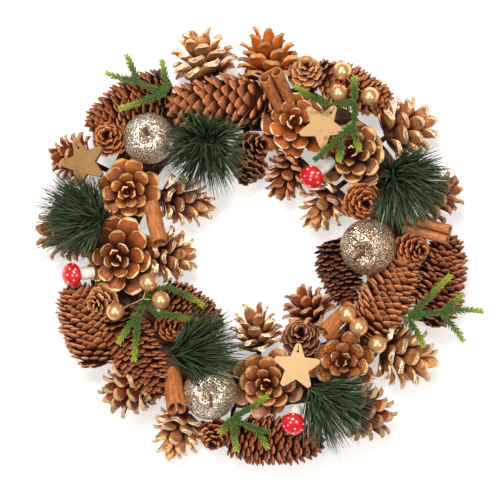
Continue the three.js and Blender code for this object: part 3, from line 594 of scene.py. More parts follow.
AMBER = dry_scales(
    "amber_scales", paint(84, 28, 8), paint(186, 94, 32), paint(190, 140, 92), (0.0, 0.6), 0.12, 0.9,
)
BROWN = dry_scales(
    "brown_scales", paint(56, 17, 10), paint(148, 76, 44), paint(192, 138, 100), (0.1, 0.85), 0.16, 0.9,
)
GREY_BROWN = dry_scales(
    "grey_brown_scales", paint(104, 22, 18), paint(136, 70, 44), paint(192, 158, 116),
    (0.15, 0.8), 0.25, 0.95,
)
GILDED = brushed_scales("gilded_scales", paint(50, 18, 7), paint(140, 76, 38), paint(184, 114, 62), 0.75)
BRIGHT_GILDED = brushed_scales(
    "bright_gilded_scales", paint(66, 26, 10), paint(156, 88, 46), paint(200, 132, 78), 0.65,
)

OPEN_CONES = {
    "pine_cone_top_left": ("pine_cone_top_left", (-38, 135, 28), (-47, 176, 28), 27, BRIGHT_GILDED),
    "pine_cone_top": ("pine_cone_top", (13, 134, 25), (8, 178, 25), 25, AMBER),
    "pine_cone_upper_right": ("pine_cone_upper_right", (106, 88, 27), (148, 106, 27), 27, BRIGHT_GILDED),
    "pine_cone_inner_top": ("pine_cone_inner_top", (35, 72, 24), (16, 36, 26), 20, BROWN),
    "pine_cone_right": ("pine_cone_right", (128, 36, 28), (169, 47, 28), 24, BROWN),
    "pine_cone_inner_bottom": ("pine_cone_inner_bottom", (4, -84, 24), (-2, -44, 27), 22, BRIGHT_GILDED),
    "pine_cone_bottom_right": ("pine_cone_bottom_right", (74, -128, 28), (114, -143, 28), 25, GREY_BROWN),
    "pine_cone_bottom_left": ("pine_cone_bottom_left", (-55, -134, 26), (-71, -173, 26), 22, BRIGHT_GILDED),
    "pine_cone_left": ("pine_cone_left", (-130, 14, 27), (-178, 9, 27), 26, BROWN),
    "pine_cone_inner_left": ("pine_cone_inner_left", (-82, -6, 24), (-44, -9, 29), 23, BRIGHT_GILDED),
    "pine_cone_inner_upper_left": ("pine_cone_inner_upper_left", (-74, 42, 26), (-28, 27, 28), 21, GILDED),
    "open_cone_lower_right": ("gilded_cones_lower_right", (103, -82, 28), (150, -98, 28), 27, BRIGHT_GILDED),
    "open_cone_lower_left": ("cones_lower_left", (-88, -106, 26), (-122, -128, 32), 24, GREY_BROWN),
    "open_cone_upper_left": ("cones_upper_left", (-133, 69, 27), (-166, 72, 29), 22, BROWN),
    "open_cone_inner_bottom": ("cones_inner_bottom", (50, -62, 22), (31, -33, 25), 22, BROWN),
    "open_cone_inner_right": ("cones_inner_right", (66, 47, 23), (43, 12, 25), 21, BRIGHT_GILDED),
}
OPEN_SLOTS = {"amber": "natural_scales", "brown": "brown_scales", "grey": "brown_scales"}
spoons = [carve(5, 6, spoon(0.5, -0.2)), carve(5, 6, spoon(0.3, 0.2)), carve(5, 6, spoon(0.6, 0.0))]
for seed, (name, (node, foot, tip, radius, material)) in enumerate(OPEN_CONES.items()):
    bm = cone(
        foot, tip, spoons, WOODY_SCALES, seed=60 + seed, core_share=0.5,
        core=lambda t: radius * (0.22 + 0.4 * t * (1 - t)),
        reach=lambda t: radius * max(0.2, 1.02 - ((t - 0.26) / 0.84) ** 2),
        rise=lambda t: 0.1 + 0.42 * t,
        width=lambda t: (8.0 - 3.8 * t) * radius / 25,
        depth=lambda t: (4.8 - 1.6 * t) * radius / 25,
        loose=0.1, twist=0.3,
    )
    slot = OPEN_SLOTS.get(material.name.split("_")[0], "gilded_scales")
    keep(name + "_scales", bm, material, slot, node, sharp=50)


# Facing cones. Open cones, dry and woody, glued to the ring by their foot, so that the viewer looks
# from the tip into rings of cupped scales. Their rims are pale, or have caught gold paint.
CUPPED_SCALES = 25  # on each facing cone


def petal(cup, lip):
    """A broad scale with a rounded end, hollow towards the cone's tip."""
    def shape(across, along, under):
        widened = 0.34 + 0.66 * math.sin(math.pi / 2 * min(1, along / 0.7))
        ended = math.sqrt(max(0.2, 1 - max(0, (along - 0.66) / 0.38) ** 2))
        raised = cup * across * across * along * along + lip * max(0, along - 0.75) * 4
        return across * widened * ended, along, raised - under * (0.45 + 0.55 * along ** 2)
    return shape


def gilt_rims():
    """Gold that the rims of cupped scales have caught, thick enough there to be crumpled."""
    taken = {
        "Place": "Vector", "Edge": "Float", "Bare Height": "Float", "Rim Width": "Float",
        "Metal": "Float",
    }
    group, given = effect("gilt_rims", taken, {"Metallic": "Float", "Height": "Float"})
    inner = sums(group, "SUBTRACT", 1.0, sums(group, "MULTIPLY", given["Rim Width"], 1.5))
    outer = sums(group, "SUBTRACT", 1.0, sums(group, "MULTIPLY", given["Rim Width"], 0.3))
    rims = sums(group, "ADD", ramp(group, given["Edge"], inner, outer), 1.0)
    folds = sums(group, "MULTIPLY", noise(group, given["Place"], 380, 3), 3.0)
    crumpled = sums(group, "MULTIPLY", folds, given["Metal"])
    return tell(
        group, Metallic=sums(group, "MULTIPLY", sums(group, "MULTIPLY", rims, 0.5), given["Metal"]),
        Height=sums(group, "ADD", given["Bare Height"], crumpled),
    )


GILT_RIMS = gilt_rims()


def rimmed_scales(name, root, body, rim, rim_width, rim_share, metal=0.0):
    """The inside of cupped scales: satin, with a rim that the brush or the light picks out."""
    made, tree, surface = finish(name, Roughness=0.38, Specular_IOR_Level=0.4)
    skin = skinned(tree, root, body, rim, (0.3, 0.9), rim_width, rim_share)
    tree.links.new(skin["Color"], surface.inputs["Base Color"])
    height = skin["Height"]
    if metal:
        inputs = {
            "Place": on_piece(tree), "Edge": skin["Edge"], "Bare Height": height,
            "Rim Width": rim_width, "Metal": metal,
        }
        gilt = wire(tree, "Group", inputs, node_tree=GILT_RIMS).outputs
        tree.links.new(gilt["Metallic"], surface.inputs["Metallic"])
        height = gilt["Height"]
    bumped(tree, surface, height, (0.3 + metal) * MM)
    return made


AMBER_RIMMED = rimmed_scales(
    "amber_rimmed_scales", paint(104, 44, 14), paint(192, 104, 46), paint(255, 230, 198), 0.08, 1.3,
)
TAN_RIMMED = rimmed_scales(
    "tan_rimmed_scales", paint(52, 18, 6), paint(152, 86, 44), paint(226, 184, 124), 0.2, 1.1,
)
PLAIN_RIMMED = rimmed_scales(
    "plain_rimmed_scales", paint(62, 22, 8), paint(174, 102, 56), paint(222, 166, 112), 0.2, 1.0,
)
GOLD_RIMMED = rimmed_scales(
    "gold_rimmed_scales", paint(70, 24, 6), paint(182, 98, 44), paint(255, 222, 172), 0.11, 1.3, 0.3,
)
HONEY_RIMMED = rimmed_scales(
    "honey_rimmed_scales", paint(74, 24, 6), paint(192, 110, 54), paint(234, 190, 128), 0.15, 1.0,
)
COPPER_RIMMED = rimmed_scales(
    "copper_rimmed_scales", paint(92, 36, 10), paint(222, 134, 68), paint(255, 226, 180), 0.14, 1.3,
    0.8,
)

FACING_CONES = {
    "top": ("facing_cone_top", (34, 96, 20), (32, 100, 58), 28, AMBER_RIMMED),
    "right": ("facing_cone_right", (79, 72, 20), (77, 76, 56), 26, TAN_RIMMED),
    "bottom": ("facing_cone_bottom", (11, -110, 20), (9, -111, 57), 26, PLAIN_RIMMED),
    "big": ("facing_cone_big", (-107, -7, 20), (-109, -11, 62), 30, GOLD_RIMMED),
    "left": ("facing_cone_left", (-99, 45, 20), (-101, 42, 58), 25, HONEY_RIMMED),
    "lower_right": ("gilded_cones_lower_right", (72, -94, 20), (70, -92, 57), 27, COPPER_RIMMED),
}
petals = [carve(6, 6, petal(0.9, 0.3)), carve(6, 6, petal(1.2, 0.0)), carve(6, 6, petal(0.6, 0.5))]
for seed, (name, (node, foot, tip, radius, material)) in enumerate(FACING_CONES.items()):
    bm = cone(
        foot, tip, petals, CUPPED_SCALES, seed=90 + seed, core_share=0.8,
        core=lambda t: radius * (0.34 - 0.3 * t),
        reach=lambda t: radius * (1.12 - 0.26 * t - 0.8 * t * t),
        rise=lambda t: 0.06 + 0.17 * t,
        width=lambda t: (8.6 - 6.2 * t ** 1.5) * radius / 26,
        depth=lambda t: 2.0 - 0.8 * t,
        loose=0.13, twist=0.3,
    )
    slot = "gilded_scales" if material in (GOLD_RIMMED, COPPER_RIMMED) else "natural_scales"
    keep(f"facing_cone_{name}_scales", bm, material, slot, node, sharp=50)


# Rosettes. The tips of cedar cones, which look like wooden roses: thin wavy scales in rings, each
# curled outwards at its edge, with dark gaps between them. They are glued in beside bigger cones.
WAVY_SCALES = 31  # on each rosette


def frill(curl, wave):
    """A thin scale that curls away from the rosette's middle."""
    def shape(across, along, under):
        widened = 0.5 + 0.5 * math.sin(math.pi / 2 * min(1, along / 0.7))
        ended = 1 - 0.16 * max(0, along - 0.8) * 5
        rolled = -curl * along ** 4 + wave * math.sin(5 * across + 1) * along ** 2
        return across * widened * ended, along * (1 - 0.1 * across * across), rolled - under * 0.6
    return shape


# Their dark root colours and late fades paint shade into the gaps between the petals.
RUSSET = dry_scales(
    "russet_scales", paint(30, 8, 3), paint(146, 68, 32), paint(206, 134, 82),
    (0.5, 1.0), 0.09, 0.9,
)
DARK_RUSSET = dry_scales(
    "dark_russet_scales", paint(22, 7, 4), paint(110, 56, 34), paint(178, 120, 82),
    (0.5, 1.0), 0.09, 0.9,
)
TAN_RUSSET = dry_scales(
    "tan_russet_scales", paint(50, 20, 8), paint(172, 108, 62), paint(216, 160, 110),
    (0.3, 0.95), 0.1, 0.9,
)

ROSETTES = {
    "rosette_inner_top": ("cones_inner_top_left", (-6, 77, 28), (9, 81, 52), 13.5, DARK_RUSSET),
    "rosette_inner_top_low": ("cones_inner_top_left", (-4, 66, 24), (-9, 50, 33), 15, DARK_RUSSET),
    "rosette_lower_left": ("cones_lower_left", (-117, -42, 34), (-130, -48, 51), 13, TAN_RUSSET),
    "rosette_right": ("cones_right", (125, -2, 34), (134, -4, 56), 13, RUSSET),
    "rosette_inner_left": ("cones_inner_left", (-68, -63, 26), (-60, -65, 50), 12.5, RUSSET),
    "rosette_upper_left": ("cones_upper_left", (-114, 86, 32), (-118, 89, 56), 14, RUSSET),
    "rosette_upper_right": ("cones_upper_right", (42, 137, 30), (42, 145, 52), 13.5, TAN_RUSSET),
    "rosette_bottom": ("cones_bottom", (-31, -148, 26), (-34, -160, 42), 13.5, RUSSET),
    "rosette_inner_bottom": ("cones_inner_bottom", (37, -76, 34), (37, -67, 56), 15, DARK_RUSSET),
    "rosette_inner_right": ("cones_inner_right", (86, 36, 32), (90, 33, 56), 14.5, RUSSET),
}
frills = [carve(5, 4, frill(1.2, 0.3)), carve(5, 4, frill(0.8, -0.35)), carve(5, 4, frill(1.5, 0.2))]
for seed, (name, (node, foot, tip, radius, material)) in enumerate(ROSETTES.items()):
    bm = cone(
        foot, tip, frills, WAVY_SCALES, seed=120 + seed, core_share=0.8,
        core=lambda t: radius * (0.46 - 0.42 * t),
        reach=lambda t: radius * (1.08 - 0.4 * t - 0.58 * t * t),
        rise=lambda t: 0.14 + 0.12 * t,
        width=lambda t: (6.4 - 4.2 * t) * radius / 14,
        depth=lambda t: 1.4,
        loose=0.06,
    )
    keep(name + "_scales", bm, material, "russet_scales", node, sharp=50)


# Apples. Foam balls, dimpled on top, rolled in coarse champagne glitter, with a bent twig for a
# stem. Each flake of glitter lies at its own angle, and its colour is painted light as well: a
# painted glint on some, painted shade on the rest and darker painted shade on a few. The apples
# are glued down in hollows between the cones.
def glitter_flakes():
    """Flakes of glitter, each tilted its own way, painted in two colours of light, a glint and a shade,
    with a few painted dark as if turned from the light.
    """
    taken = {"Place": "Vector", "Straight": "Vector", "Shaded": "Color", "Flashing": "Color"}
    group, given = effect("glitter_flakes", taken, {"Color": "Color", "Normal": "Vector"})
    flakes = wire(group, "TexVoronoi", {"Vector": given["Place"], "Scale": 1350.0})
    flake = flakes.outputs["Color"]
    parted = wire(group, "SeparateColor", {0: flake}).outputs
    # Painted glints and painted shade: each flake is coloured as lit or shaded, and a few dark.
    flake_glint_and_shade = mixed(group, ramp(group, parted[0], 0.35, 0.7), given["Shaded"], given["Flashing"])
    flake_glint_and_shade = mixed(group, ramp(group, parted[1], 0.78, 0.86), flake_glint_and_shade, paint(112, 80, 48))
    tilt = wire(group, "VectorMath", {0: flake, 1: (0.5, 0.5, 0.5)}, operation="SUBTRACT")
    tilt = wire(group, "VectorMath", {0: tilt.outputs[0], "Scale": 0.9}, operation="SCALE")
    tilted = {0: given["Straight"], 1: tilt.outputs[0]}
    tilted = wire(group, "VectorMath", tilted, operation="ADD")
    tilted = wire(group, "VectorMath", {0: tilted.outputs[0]}, operation="NORMALIZE")
    return tell(group, Color=flake_glint_and_shade, Normal=tilted.outputs[0])


GLITTER_FLAKES = glitter_flakes()


def glitter(name, shaded, flashing):
    """A coat of glitter, its flakes painted from shade to glint."""
    made, tree, surface = finish(name, Metallic=0.75, Roughness=0.26)
    straight = wire(tree, "NewGeometry", {}).outputs["Normal"]
    inputs = {
        "Place": on_piece(tree), "Straight": straight, "Shaded": shaded, "Flashing": flashing,
    }
    flakes = wire(tree, "Group", inputs, node_tree=GLITTER_FLAKES).outputs
    tree.links.new(flakes["Color"], surface.inputs["Base Color"])
    tree.links.new(flakes["Normal"], surface.inputs["Normal"])
    return made


SILVER_GLITTER = glitter("silver_glitter", paint(196, 166, 126), paint(255, 252, 244))
CHAMPAGNE_GLITTER = glitter("champagne_glitter", paint(168, 130, 86), paint(250, 238, 214))

twig_bark, tree, surface = finish("twig_bark", Roughness=0.7)
twig_spots = noise(tree, on_piece(tree), 900, 3)
twig_colour = mixed(tree, ramp(tree, twig_spots, 0.3, 0.7), paint(60, 30, 20), paint(124, 76, 50))
tree.links.new(twig_colour, surface.inputs["Base Color"])
bumped(tree, surface, twig_spots, 0.2 * MM)


def bent(bm, points, radius, end_radius, sides=7):
    """A twig or wire through a few points, one short stick after the other."""
    count = len(points) - 1
    for number, (start, end) in enumerate(zip(points, points[1:])):
        first = radius + (end_radius - radius) * number / count
        last = radius + (end_radius - radius) * (number + 1) / count
        rod(bm, start, end, first, last, sides)


APPLE_TWIG = 1.1
APPLE_TWIG_END = 1.5
APPLES = {
    "right": ((91, -1, 45), 22.5, (-0.24, -0.24, 1), (-12, -10, 20), CHAMPAGNE_GLITTER),
    "bottom": ((-35, -117, 43), 21.5, (0.04, 0.04, 1), (1, -10, 19), SILVER_GLITTER),
    "left": ((-84, 86, 43), 20.5, (-0.05, 0.1, 1), (-2, 7, 19), SILVER_GLITTER),
}
draw = random.Random(8)
for name, (middle, radius, lean, stem, glittered) in APPLES.items():
    middle = Vector(middle)
    axis = Vector(lean).normalized()
    facing = upright_to(axis)
    bm = bmesh.new()
    bmesh.ops.create_icosphere(bm, subdivisions=5, radius=1)
    for vert in bm.verts:
        away = math.hypot(vert.co.x, vert.co.y)
        dent = (0.42 if vert.co.z > 0 else 0.15) * math.exp(-((away / 0.26) ** 2))
        height = 0.95 * vert.co.z - math.copysign(dent, vert.co.z)
        grain = radius + draw.uniform(-0.14, 0.14)
        vert.co = middle + facing @ (Vector((vert.co.x, vert.co.y, height)) * grain)
    keep(f"apple_{name}_flesh", bm, glittered, "champagne_glitter", "apple_" + name, sharp=0)
    bm = bmesh.new()
    low = middle + axis * 0.45 * radius
    top = middle + Vector(stem)
    knee = low.lerp(top, 0.55) + axis * 0.08 * radius
    bent(bm, [low, knee, top], APPLE_TWIG, APPLE_TWIG_END)
    keep(f"apple_{name}_twig", bm, twig_bark, "vine", "apple_" + name, sharp=50)


# Stars. Cut from pressed board 5 mm thick, with blunt points, and a loop of thin wire through a
# hole near one of them. They are glued down flat, or leaning a little, on the pieces below.
STAR_REACH = 19
STAR_THICKNESS = 5
POINT_ROUND = 2.5
NOTCH = 0.52  # the reach of the inner corners, as a share of the points' reach
HOLE = 0.66  # how far out the hole is, as such a share
LOOP_MIDDLE = 0.83  # and the middle of the loop
HOLE_RADIUS = 1
RIM_ROUND = 0.35
LOOP_LENGTH = 3.6  # half of the loop's length, and below half of its height
LOOP_HEIGHT = 3.1
LOOP_WIRE = 0.28


def pressed_board():
    """Pressed board: pale, with darker fibres, and sometimes a faint stain."""
    taken = {"Place": "Vector", "Light": "Color", "Dark": "Color", "Stain": "Float"}
    group, given = effect("pressed_board", taken, {"Color": "Color", "Height": "Float"})
    fibres = noise(group, given["Place"], 2200, 2, 0.7)
    clouds = noise(group, given["Place"], 90, 2)
    pressed = mixed(group, ramp(group, fibres, 0.38, 0.66), given["Dark"], given["Light"])
    soiled = sums(group, "MULTIPLY", ramp(group, clouds, 0.52, 0.66), given["Stain"])
    pressed = mixed(group, soiled, pressed, paint(120, 92, 58))
    return tell(group, Color=pressed, Height=fibres)


PRESSED_BOARD = pressed_board()


def board(name, light, dark, stain):
    """One star's board, light or dark, and more or less stained."""
    made, tree, surface = finish(name, Roughness=0.82)
    inputs = {"Place": on_piece(tree), "Light": light, "Dark": dark, "Stain": stain}
    pressed = wire(tree, "Group", inputs, node_tree=PRESSED_BOARD).outputs
    tree.links.new(pressed["Color"], surface.inputs["Base Color"])
    bumped(tree, surface, pressed["Height"], 0.08 * MM)
    return made


def uneven_coat():
    """A thin coat, such as paint on wood or tarnish on wire, that runs from dark to light."""
    taken = {
        "Place": "Vector", "Scale": "Float", "Detail": "Float", "Dark": "Color", "Light": "Color",
    }
    group, given = effect("uneven_coat", taken, {"Color": "Color", "Height": "Float"})
    clouds = noise(group, given["Place"], given["Scale"], given["Detail"])
    colour = mixed(group, clouds, given["Dark"], given["Light"])
    return tell(group, Color=colour, Height=clouds)


UNEVEN_COAT = uneven_coat()


def coated(name, dark, light, scale, detail, depth, **plain):
    """A finish with an uneven coat, whose unevenness is depth millimetres deep."""
    made, tree, surface = finish(name, **plain)
    inputs = {
        "Place": on_piece(tree), "Scale": scale, "Detail": detail, "Dark": dark, "Light": light,
    }
    coat = wire(tree, "Group", inputs, node_tree=UNEVEN_COAT).outputs
    tree.links.new(coat["Color"], surface.inputs["Base Color"])
    if depth:
        bumped(tree, surface, coat["Height"], depth * MM)
    return made


SANDY = board("star_top_board", paint(206, 168, 120), paint(176, 136, 90), 0.7)
PALE = board("star_bottom_board", paint(222, 186, 140), paint(200, 160, 112), 0)
DARK = board("star_left_board", paint(172, 130, 80), paint(124, 88, 48), 0.4)
thin_wire = coated(
    "thin_wire", paint(70, 50, 34), paint(150, 120, 86), 400, 2, 0, Metallic=0.7, Roughness=0.5,
)

STARS = {
    "top": ((54, 95, 56), -34, (-0.05, 0.1, 1), SANDY),
    "bottom": ((34, -96, 52.5), -4, (0, -0.05, 1), PALE),
    "left": ((-135, 66, 55), 20, (-0.32, 0.12, 1), DARK),
}
for name, (middle, turn_degrees, face, material) in STARS.items():
    stood = Matrix.Translation(middle) @ upright_to(Vector(face).normalized()).to_4x4()
    outline = []
    for number in range(5):
        point = math.radians(turn_degrees + 90 + 72 * number)
        middle_of_point = (STAR_REACH - POINT_ROUND) * Vector((math.cos(point), math.sin(point), 0))
        for step in range(7):
            bend = point + math.radians(-72 + 24 * step)
            outline.append(middle_of_point + POINT_ROUND * Vector((math.cos(bend), math.sin(bend), 0)))
        notch = point + math.radians(36)
        outline.append(NOTCH * STAR_REACH * Vector((math.cos(notch), math.sin(notch), 0)))
    upwards = math.radians(turn_degrees + 90)
    out = Vector((math.cos(upwards), math.sin(upwards), 0))
    bm = bmesh.new()
    corners = [bm.verts.new(corner) for corner in outline]
    for pair in zip(corners, corners[1:] + corners[:1]):
        bm.edges.new(pair)
    hole_at = Matrix.Translation(HOLE * STAR_REACH * out)
    bmesh.ops.create_circle(bm, segments=12, radius=HOLE_RADIUS, matrix=hole_at)
    bmesh.ops.translate(bm, vec=(0, 0, -STAR_THICKNESS / 2), verts=bm.verts[:])
    flat = bmesh.ops.triangle_fill(bm, edges=bm.edges[:], use_beauty=True)["geom"]
    faces = [made for made in flat if isinstance(made, bmesh.types.BMFace)]
    pulled = bmesh.ops.extrude_face_region(bm, geom=faces, use_keep_orig=True)["geom"]
    lifted = [made for made in pulled if isinstance(made, bmesh.types.BMVert)]
    bmesh.ops.translate(bm, vec=(0, 0, STAR_THICKNESS), verts=lifted)
    bmesh.ops.recalc_face_normals(bm, faces=bm.faces[:])
    rims = [edge for edge in bm.edges if edge.is_manifold and edge.calc_face_angle() > 1.2]
    bmesh.ops.bevel(
        bm, geom=rims, offset=RIM_ROUND, segments=2, profile=0.5, affect="EDGES", material=-1,
    )
    bmesh.ops.transform(bm, matrix=stood, verts=bm.verts[:])
    keep(f"star_{name}_board", bm, material, "star_wood", "star_" + name, sharp=35)
    bm = bmesh.new()
    loop = []
    for step in range(17):
        bend = step * math.pi / 8
        reach = LOOP_MIDDLE * STAR_REACH + LOOP_LENGTH * math.cos(bend)
        loop.append(out * reach + Vector((0, 0, LOOP_HEIGHT * math.sin(bend))))
    bent(bm, loop, LOOP_WIRE, LOOP_WIRE, 6)
    bmesh.ops.transform(bm, matrix=stood, verts=bm.verts[:])
    keep(f"star_{name}_loop", bm, thin_wire, "star_wood", "star_" + name, sharp=60)


# Toadstools. Turned wooden caps, painted a glossy red with raised white dots, on off-white stems.
# The foot of each stem is glued in between the cones, and the cap is tipped towards the viewer.
TOADSTOOL_RADIUS = 9.6
CAP_HEIGHT = 0.78  # of the dome, as a share of its radius
CAP_TIP = 0.7  # how far the cap is tipped up from the line of its stem
CAP_DOTS = 12
red_gloss = coated(
    "toadstool_red", paint(190, 8, 20), paint(232, 18, 36), 120, 2, 0.1,
    Roughness=0.2, Coat_Weight=0.6,
)
off_white = coated(
    "toadstool_white", paint(206, 200, 190), paint(248, 246, 240), 300, 3, 0.1, Roughness=0.5,
)

TOADSTOOLS = {
    "top": ((46, 55, 50), (62, 68, 38)),
    "bottom": ((31, -141, 56), (34, -129, 44)),
    "left": ((-145, -23, 42), (-128, -21, 37)),
}
for seed, (name, (crown, foot)) in enumerate(TOADSTOOLS.items()):
    crown, foot = Vector(crown), Vector(foot)
    axis = (crown - foot).normalized()
    facing = upright_to((axis + Vector((0, 0, CAP_TIP))).normalized())
    draw = random.Random(seed)
    bm = bmesh.new()
    bmesh.ops.create_uvsphere(bm, u_segments=36, v_segments=22, radius=1)
    for vert in bm.verts:
        height = CAP_HEIGHT * vert.co.z if vert.co.z > 0 else -0.2 * min(1, -2.5 * vert.co.z)
        vert.co = crown + facing @ (Vector((vert.co.x, vert.co.y, height)) * TOADSTOOL_RADIUS)
    keep(f"toadstool_{name}_dome", bm, red_gloss, "toadstool_red", f"toadstool_{name}_cap", sharp=60)
    bm = bmesh.new()
    for number in range(CAP_DOTS):
        lean = math.acos(1 - (number + 0.4) / 14)
        turn = number * GOLDEN_TURN + draw.uniform(-0.3, 0.3)
        away = math.sin(lean)
        out = Vector((away * math.cos(turn), away * math.sin(turn), CAP_HEIGHT * math.cos(lean)))
        outward = Vector((out.x, out.y, out.z / 0.6)).normalized()
        turned_out = (facing @ outward).to_track_quat("Z", "Y").to_matrix().to_4x4()
        spot = Matrix.Translation(crown + facing @ out * TOADSTOOL_RADIUS) @ turned_out
        size = draw.uniform(0.65, 0.95)
        flattened = Matrix.Diagonal((size, size, 0.4 * size, 1))
        bmesh.ops.create_icosphere(bm, subdivisions=2, radius=1, matrix=spot @ flattened)
    keep(f"toadstool_{name}_dots", bm, off_white, "toadstool_stem", f"toadstool_{name}_cap", sharp=60)
    bm = bmesh.new()
    length = (crown - foot).length - 0.2 * TOADSTOOL_RADIUS
    profile = [
        (0, 0), (4.2, 0), (4.7, 0.4), (5.2, 0.45 * length), (4.6, 0.75 * length),
        (3.8, length), (0, length),
    ]
    turned(bm, profile, foot, axis, 28)
    keep(f"toadstool_{name}_foot", bm, off_white, "toadstool_stem", f"toadstool_{name}_stem", sharp=50)


# Berries. Balls in satin gold paint, each on a copper wire. The wires of three berries meet in a
# joint, and the berries are pressed in among the cones on which they rest.
BERRY_RADIUS = 7.4
BERRY_WIRE = 0.45
satin_gold = coated(
    "satin_gold", paint(244, 178, 116), paint(254, 208, 150), 200, 3, 0.05,
    Metallic=0.8, Roughness=0.28,
)
copper_wire = coated(
    "copper_wire", paint(150, 92, 54), paint(214, 158, 110), 300, 2, 0,
    Metallic=0.9, Roughness=0.35,
)

BERRIES = {
    "top": ([(70, 139, 51), (67, 122, 51), (92, 119, 50)], (79, 127, 52)),
    "left": ([(-84, -29, 54), (-74, -43, 56), (-110, -52, 60)], (-88, -42, 61)),
    "right": ([(74, -54, 56), (83, -64, 60), (98, -78, 56)], (84, -68, 54)),
}
for name, (middles, joint) in BERRIES.items():
    balls = bmesh.new()
    wires = bmesh.new()
    joint = Vector(joint)
    for middle in middles:
        middle = Vector(middle)
        bmesh.ops.create_uvsphere(
            balls, u_segments=36, v_segments=24, radius=BERRY_RADIUS, matrix=Matrix.Translation(middle),
        )
        halfway = joint.lerp(middle, 0.4) + Vector((0, 0, 1.2))
        bent(wires, [joint - Vector((0, 0, 1)), halfway, middle], BERRY_WIRE, BERRY_WIRE)
    keep(f"berries_{name}_balls", balls, satin_gold, "gilded_berries", "berries_" + name, sharp=60)
    keep(f"berries_{name}_wires", wires, copper_wire, "gilded_berries", "berries_" + name, sharp=60)


# Cinnamon. Quills of bark, dried and rolled in from both sides, so that each end shows two
# scrolls round dark hollows. They are glued in by their lower end and lean on what is beside them.
QUILL_BARK = 1.2
QUILL_STRETCHES = 6
cinnamon, tree, surface = finish("cinnamon_bark", Roughness=0.66)
leaf, tone = leaf_of(tree)
parted = wire(tree, "SeparateXYZ", {0: leaf}).outputs
long_way = sums(tree, "MULTIPLY", parted[1], 0.12)
grain_at = wire(tree, "CombineXYZ", {0: parted[0], 1: long_way, 2: tone}).outputs[0]
grain = noise(tree, grain_at, 1.1, 4)
stains = noise(tree, on_piece(tree), 130, 3)
barked = mixed(tree, ramp(tree, grain, 0.3, 0.7), paint(150, 82, 40), paint(204, 128, 72))
stained = sums(tree, "MULTIPLY", ramp(tree, stains, 0.45, 0.7), 0.3)
barked = mixed(tree, stained, barked, paint(126, 66, 32))
tree.links.new(barked, surface.inputs["Base Color"])
bumped(tree, surface, sums(tree, "ADD", grain, stains), 0.3 * MM)


def half_scroll(width, flat):
    """Half of a quill's end, from the loose edge inside its roll to the middle of its back. A flat
    quill is two rolls side by side. A round one is a tube, whose edges curl in like a heart."""
    half = []
    steps = 26
    if flat:
        scroll = (width - QUILL_BARK) / 4.15
        for step in range(steps, -1, -1):
            share = step / steps
            angle = math.pi / 2 - share * 1.85 * math.pi
            reach = scroll * (1 - 1.3 * max(0, share - 0.6))
            half.append(Vector((1.07 * scroll + reach * math.cos(angle), reach * math.sin(angle), 0)))
        return half
    tube = (width - QUILL_BARK) / 2
    curl = 0.36 * tube
    brow = math.radians(41)
    middle = (tube - curl) * Vector((math.cos(brow), math.sin(brow), 0))
    for step in range(8, 0, -1):
        angle = brow + step / 8 * math.radians(170)
        half.append(middle + curl * Vector((math.cos(angle), math.sin(angle), 0)))
    for step in range(steps, -1, -1):
        angle = -math.pi / 2 + step / steps * (brow + math.pi / 2)
        half.append(tube * Vector((math.cos(angle), math.sin(angle), 0)))
    return half


QUILLS = {
    "top": ((24, 114, 38), (13, 135, 66), 20, True),
    "right": ((121, 18, 34), (155, 9, 48), 16, True),
    "inner": ((77, -49, 38), (55, -69, 55), 12.5, False),
    "bottom": ((-66, -102, 28), (-62, -129, 57), 15.5, False),
    "left": ((-82, 33, 36), (-75, 2, 55), 13, False),
}
for seed, (name, (foot, tip, width, flat)) in enumerate(QUILLS.items()):
    foot, tip = Vector(foot), Vector(tip)
    right = half_scroll(width, flat)
    mirrored = [Vector((-place.x, place.y, 0)) for place in reversed(right)]
    line = right + (mirrored if flat else mirrored[1:])
    bm = leafed()
    leaf_layer = bm.verts.layers.float_vector["leaf"]
    tone_layer = bm.verts.layers.float["tone"]
    edges = []
    for sign in (1, -1):
        side = []
        for number, place in enumerate(line):
            ahead = line[min(number + 1, len(line) - 1)] - line[max(number - 1, 0)]
            outward = Vector((-ahead.y, ahead.x, 0)).normalized()
            vert = bm.verts.new(place + outward * sign * QUILL_BARK / 2)
            vert[leaf_layer] = (number * 0.4, 0, sign)
            side.append(vert)
        edges += [bm.edges.new(pair) for pair in zip(side, side[1:])]
    stretch = bmesh.ops.bridge_loops(bm, edges=edges)["faces"]
    length = (tip - foot).length
    draw = random.Random(seed + 40)
    for number in range(QUILL_STRETCHES):
        pulled = bmesh.ops.extrude_face_region(bm, geom=stretch)["geom"]
        lifted = [made for made in pulled if isinstance(made, bmesh.types.BMVert)]
        stretch = [made for made in pulled if isinstance(made, bmesh.types.BMFace)]
        onward = (draw.uniform(-0.15, 0.15), draw.uniform(-0.15, 0.15), length / QUILL_STRETCHES)
        bmesh.ops.translate(bm, vec=onward, verts=lifted)
        for vert in lifted:
            vert[leaf_layer] = (vert[leaf_layer].x, vert.co.z, vert[leaf_layer].z)
    for vert in bm.verts:
        vert[tone_layer] = seed
    bmesh.ops.recalc_face_normals(bm, faces=bm.faces[:])
    facing = upright_to((tip - foot).normalized()).to_4x4()
    groove = math.atan2(foot.x - tip.x, tip.y - foot.y)
    stood = Matrix.Translation(foot) @ facing @ Matrix.Rotation(groove, 4, "Z")
    bmesh.ops.transform(bm, matrix=stood, verts=bm.verts[:])
    keep(f"cinnamon_{name}_quill", bm, cinnamon, "cinnamon_bark", "cinnamon_" + name, sharp=40)


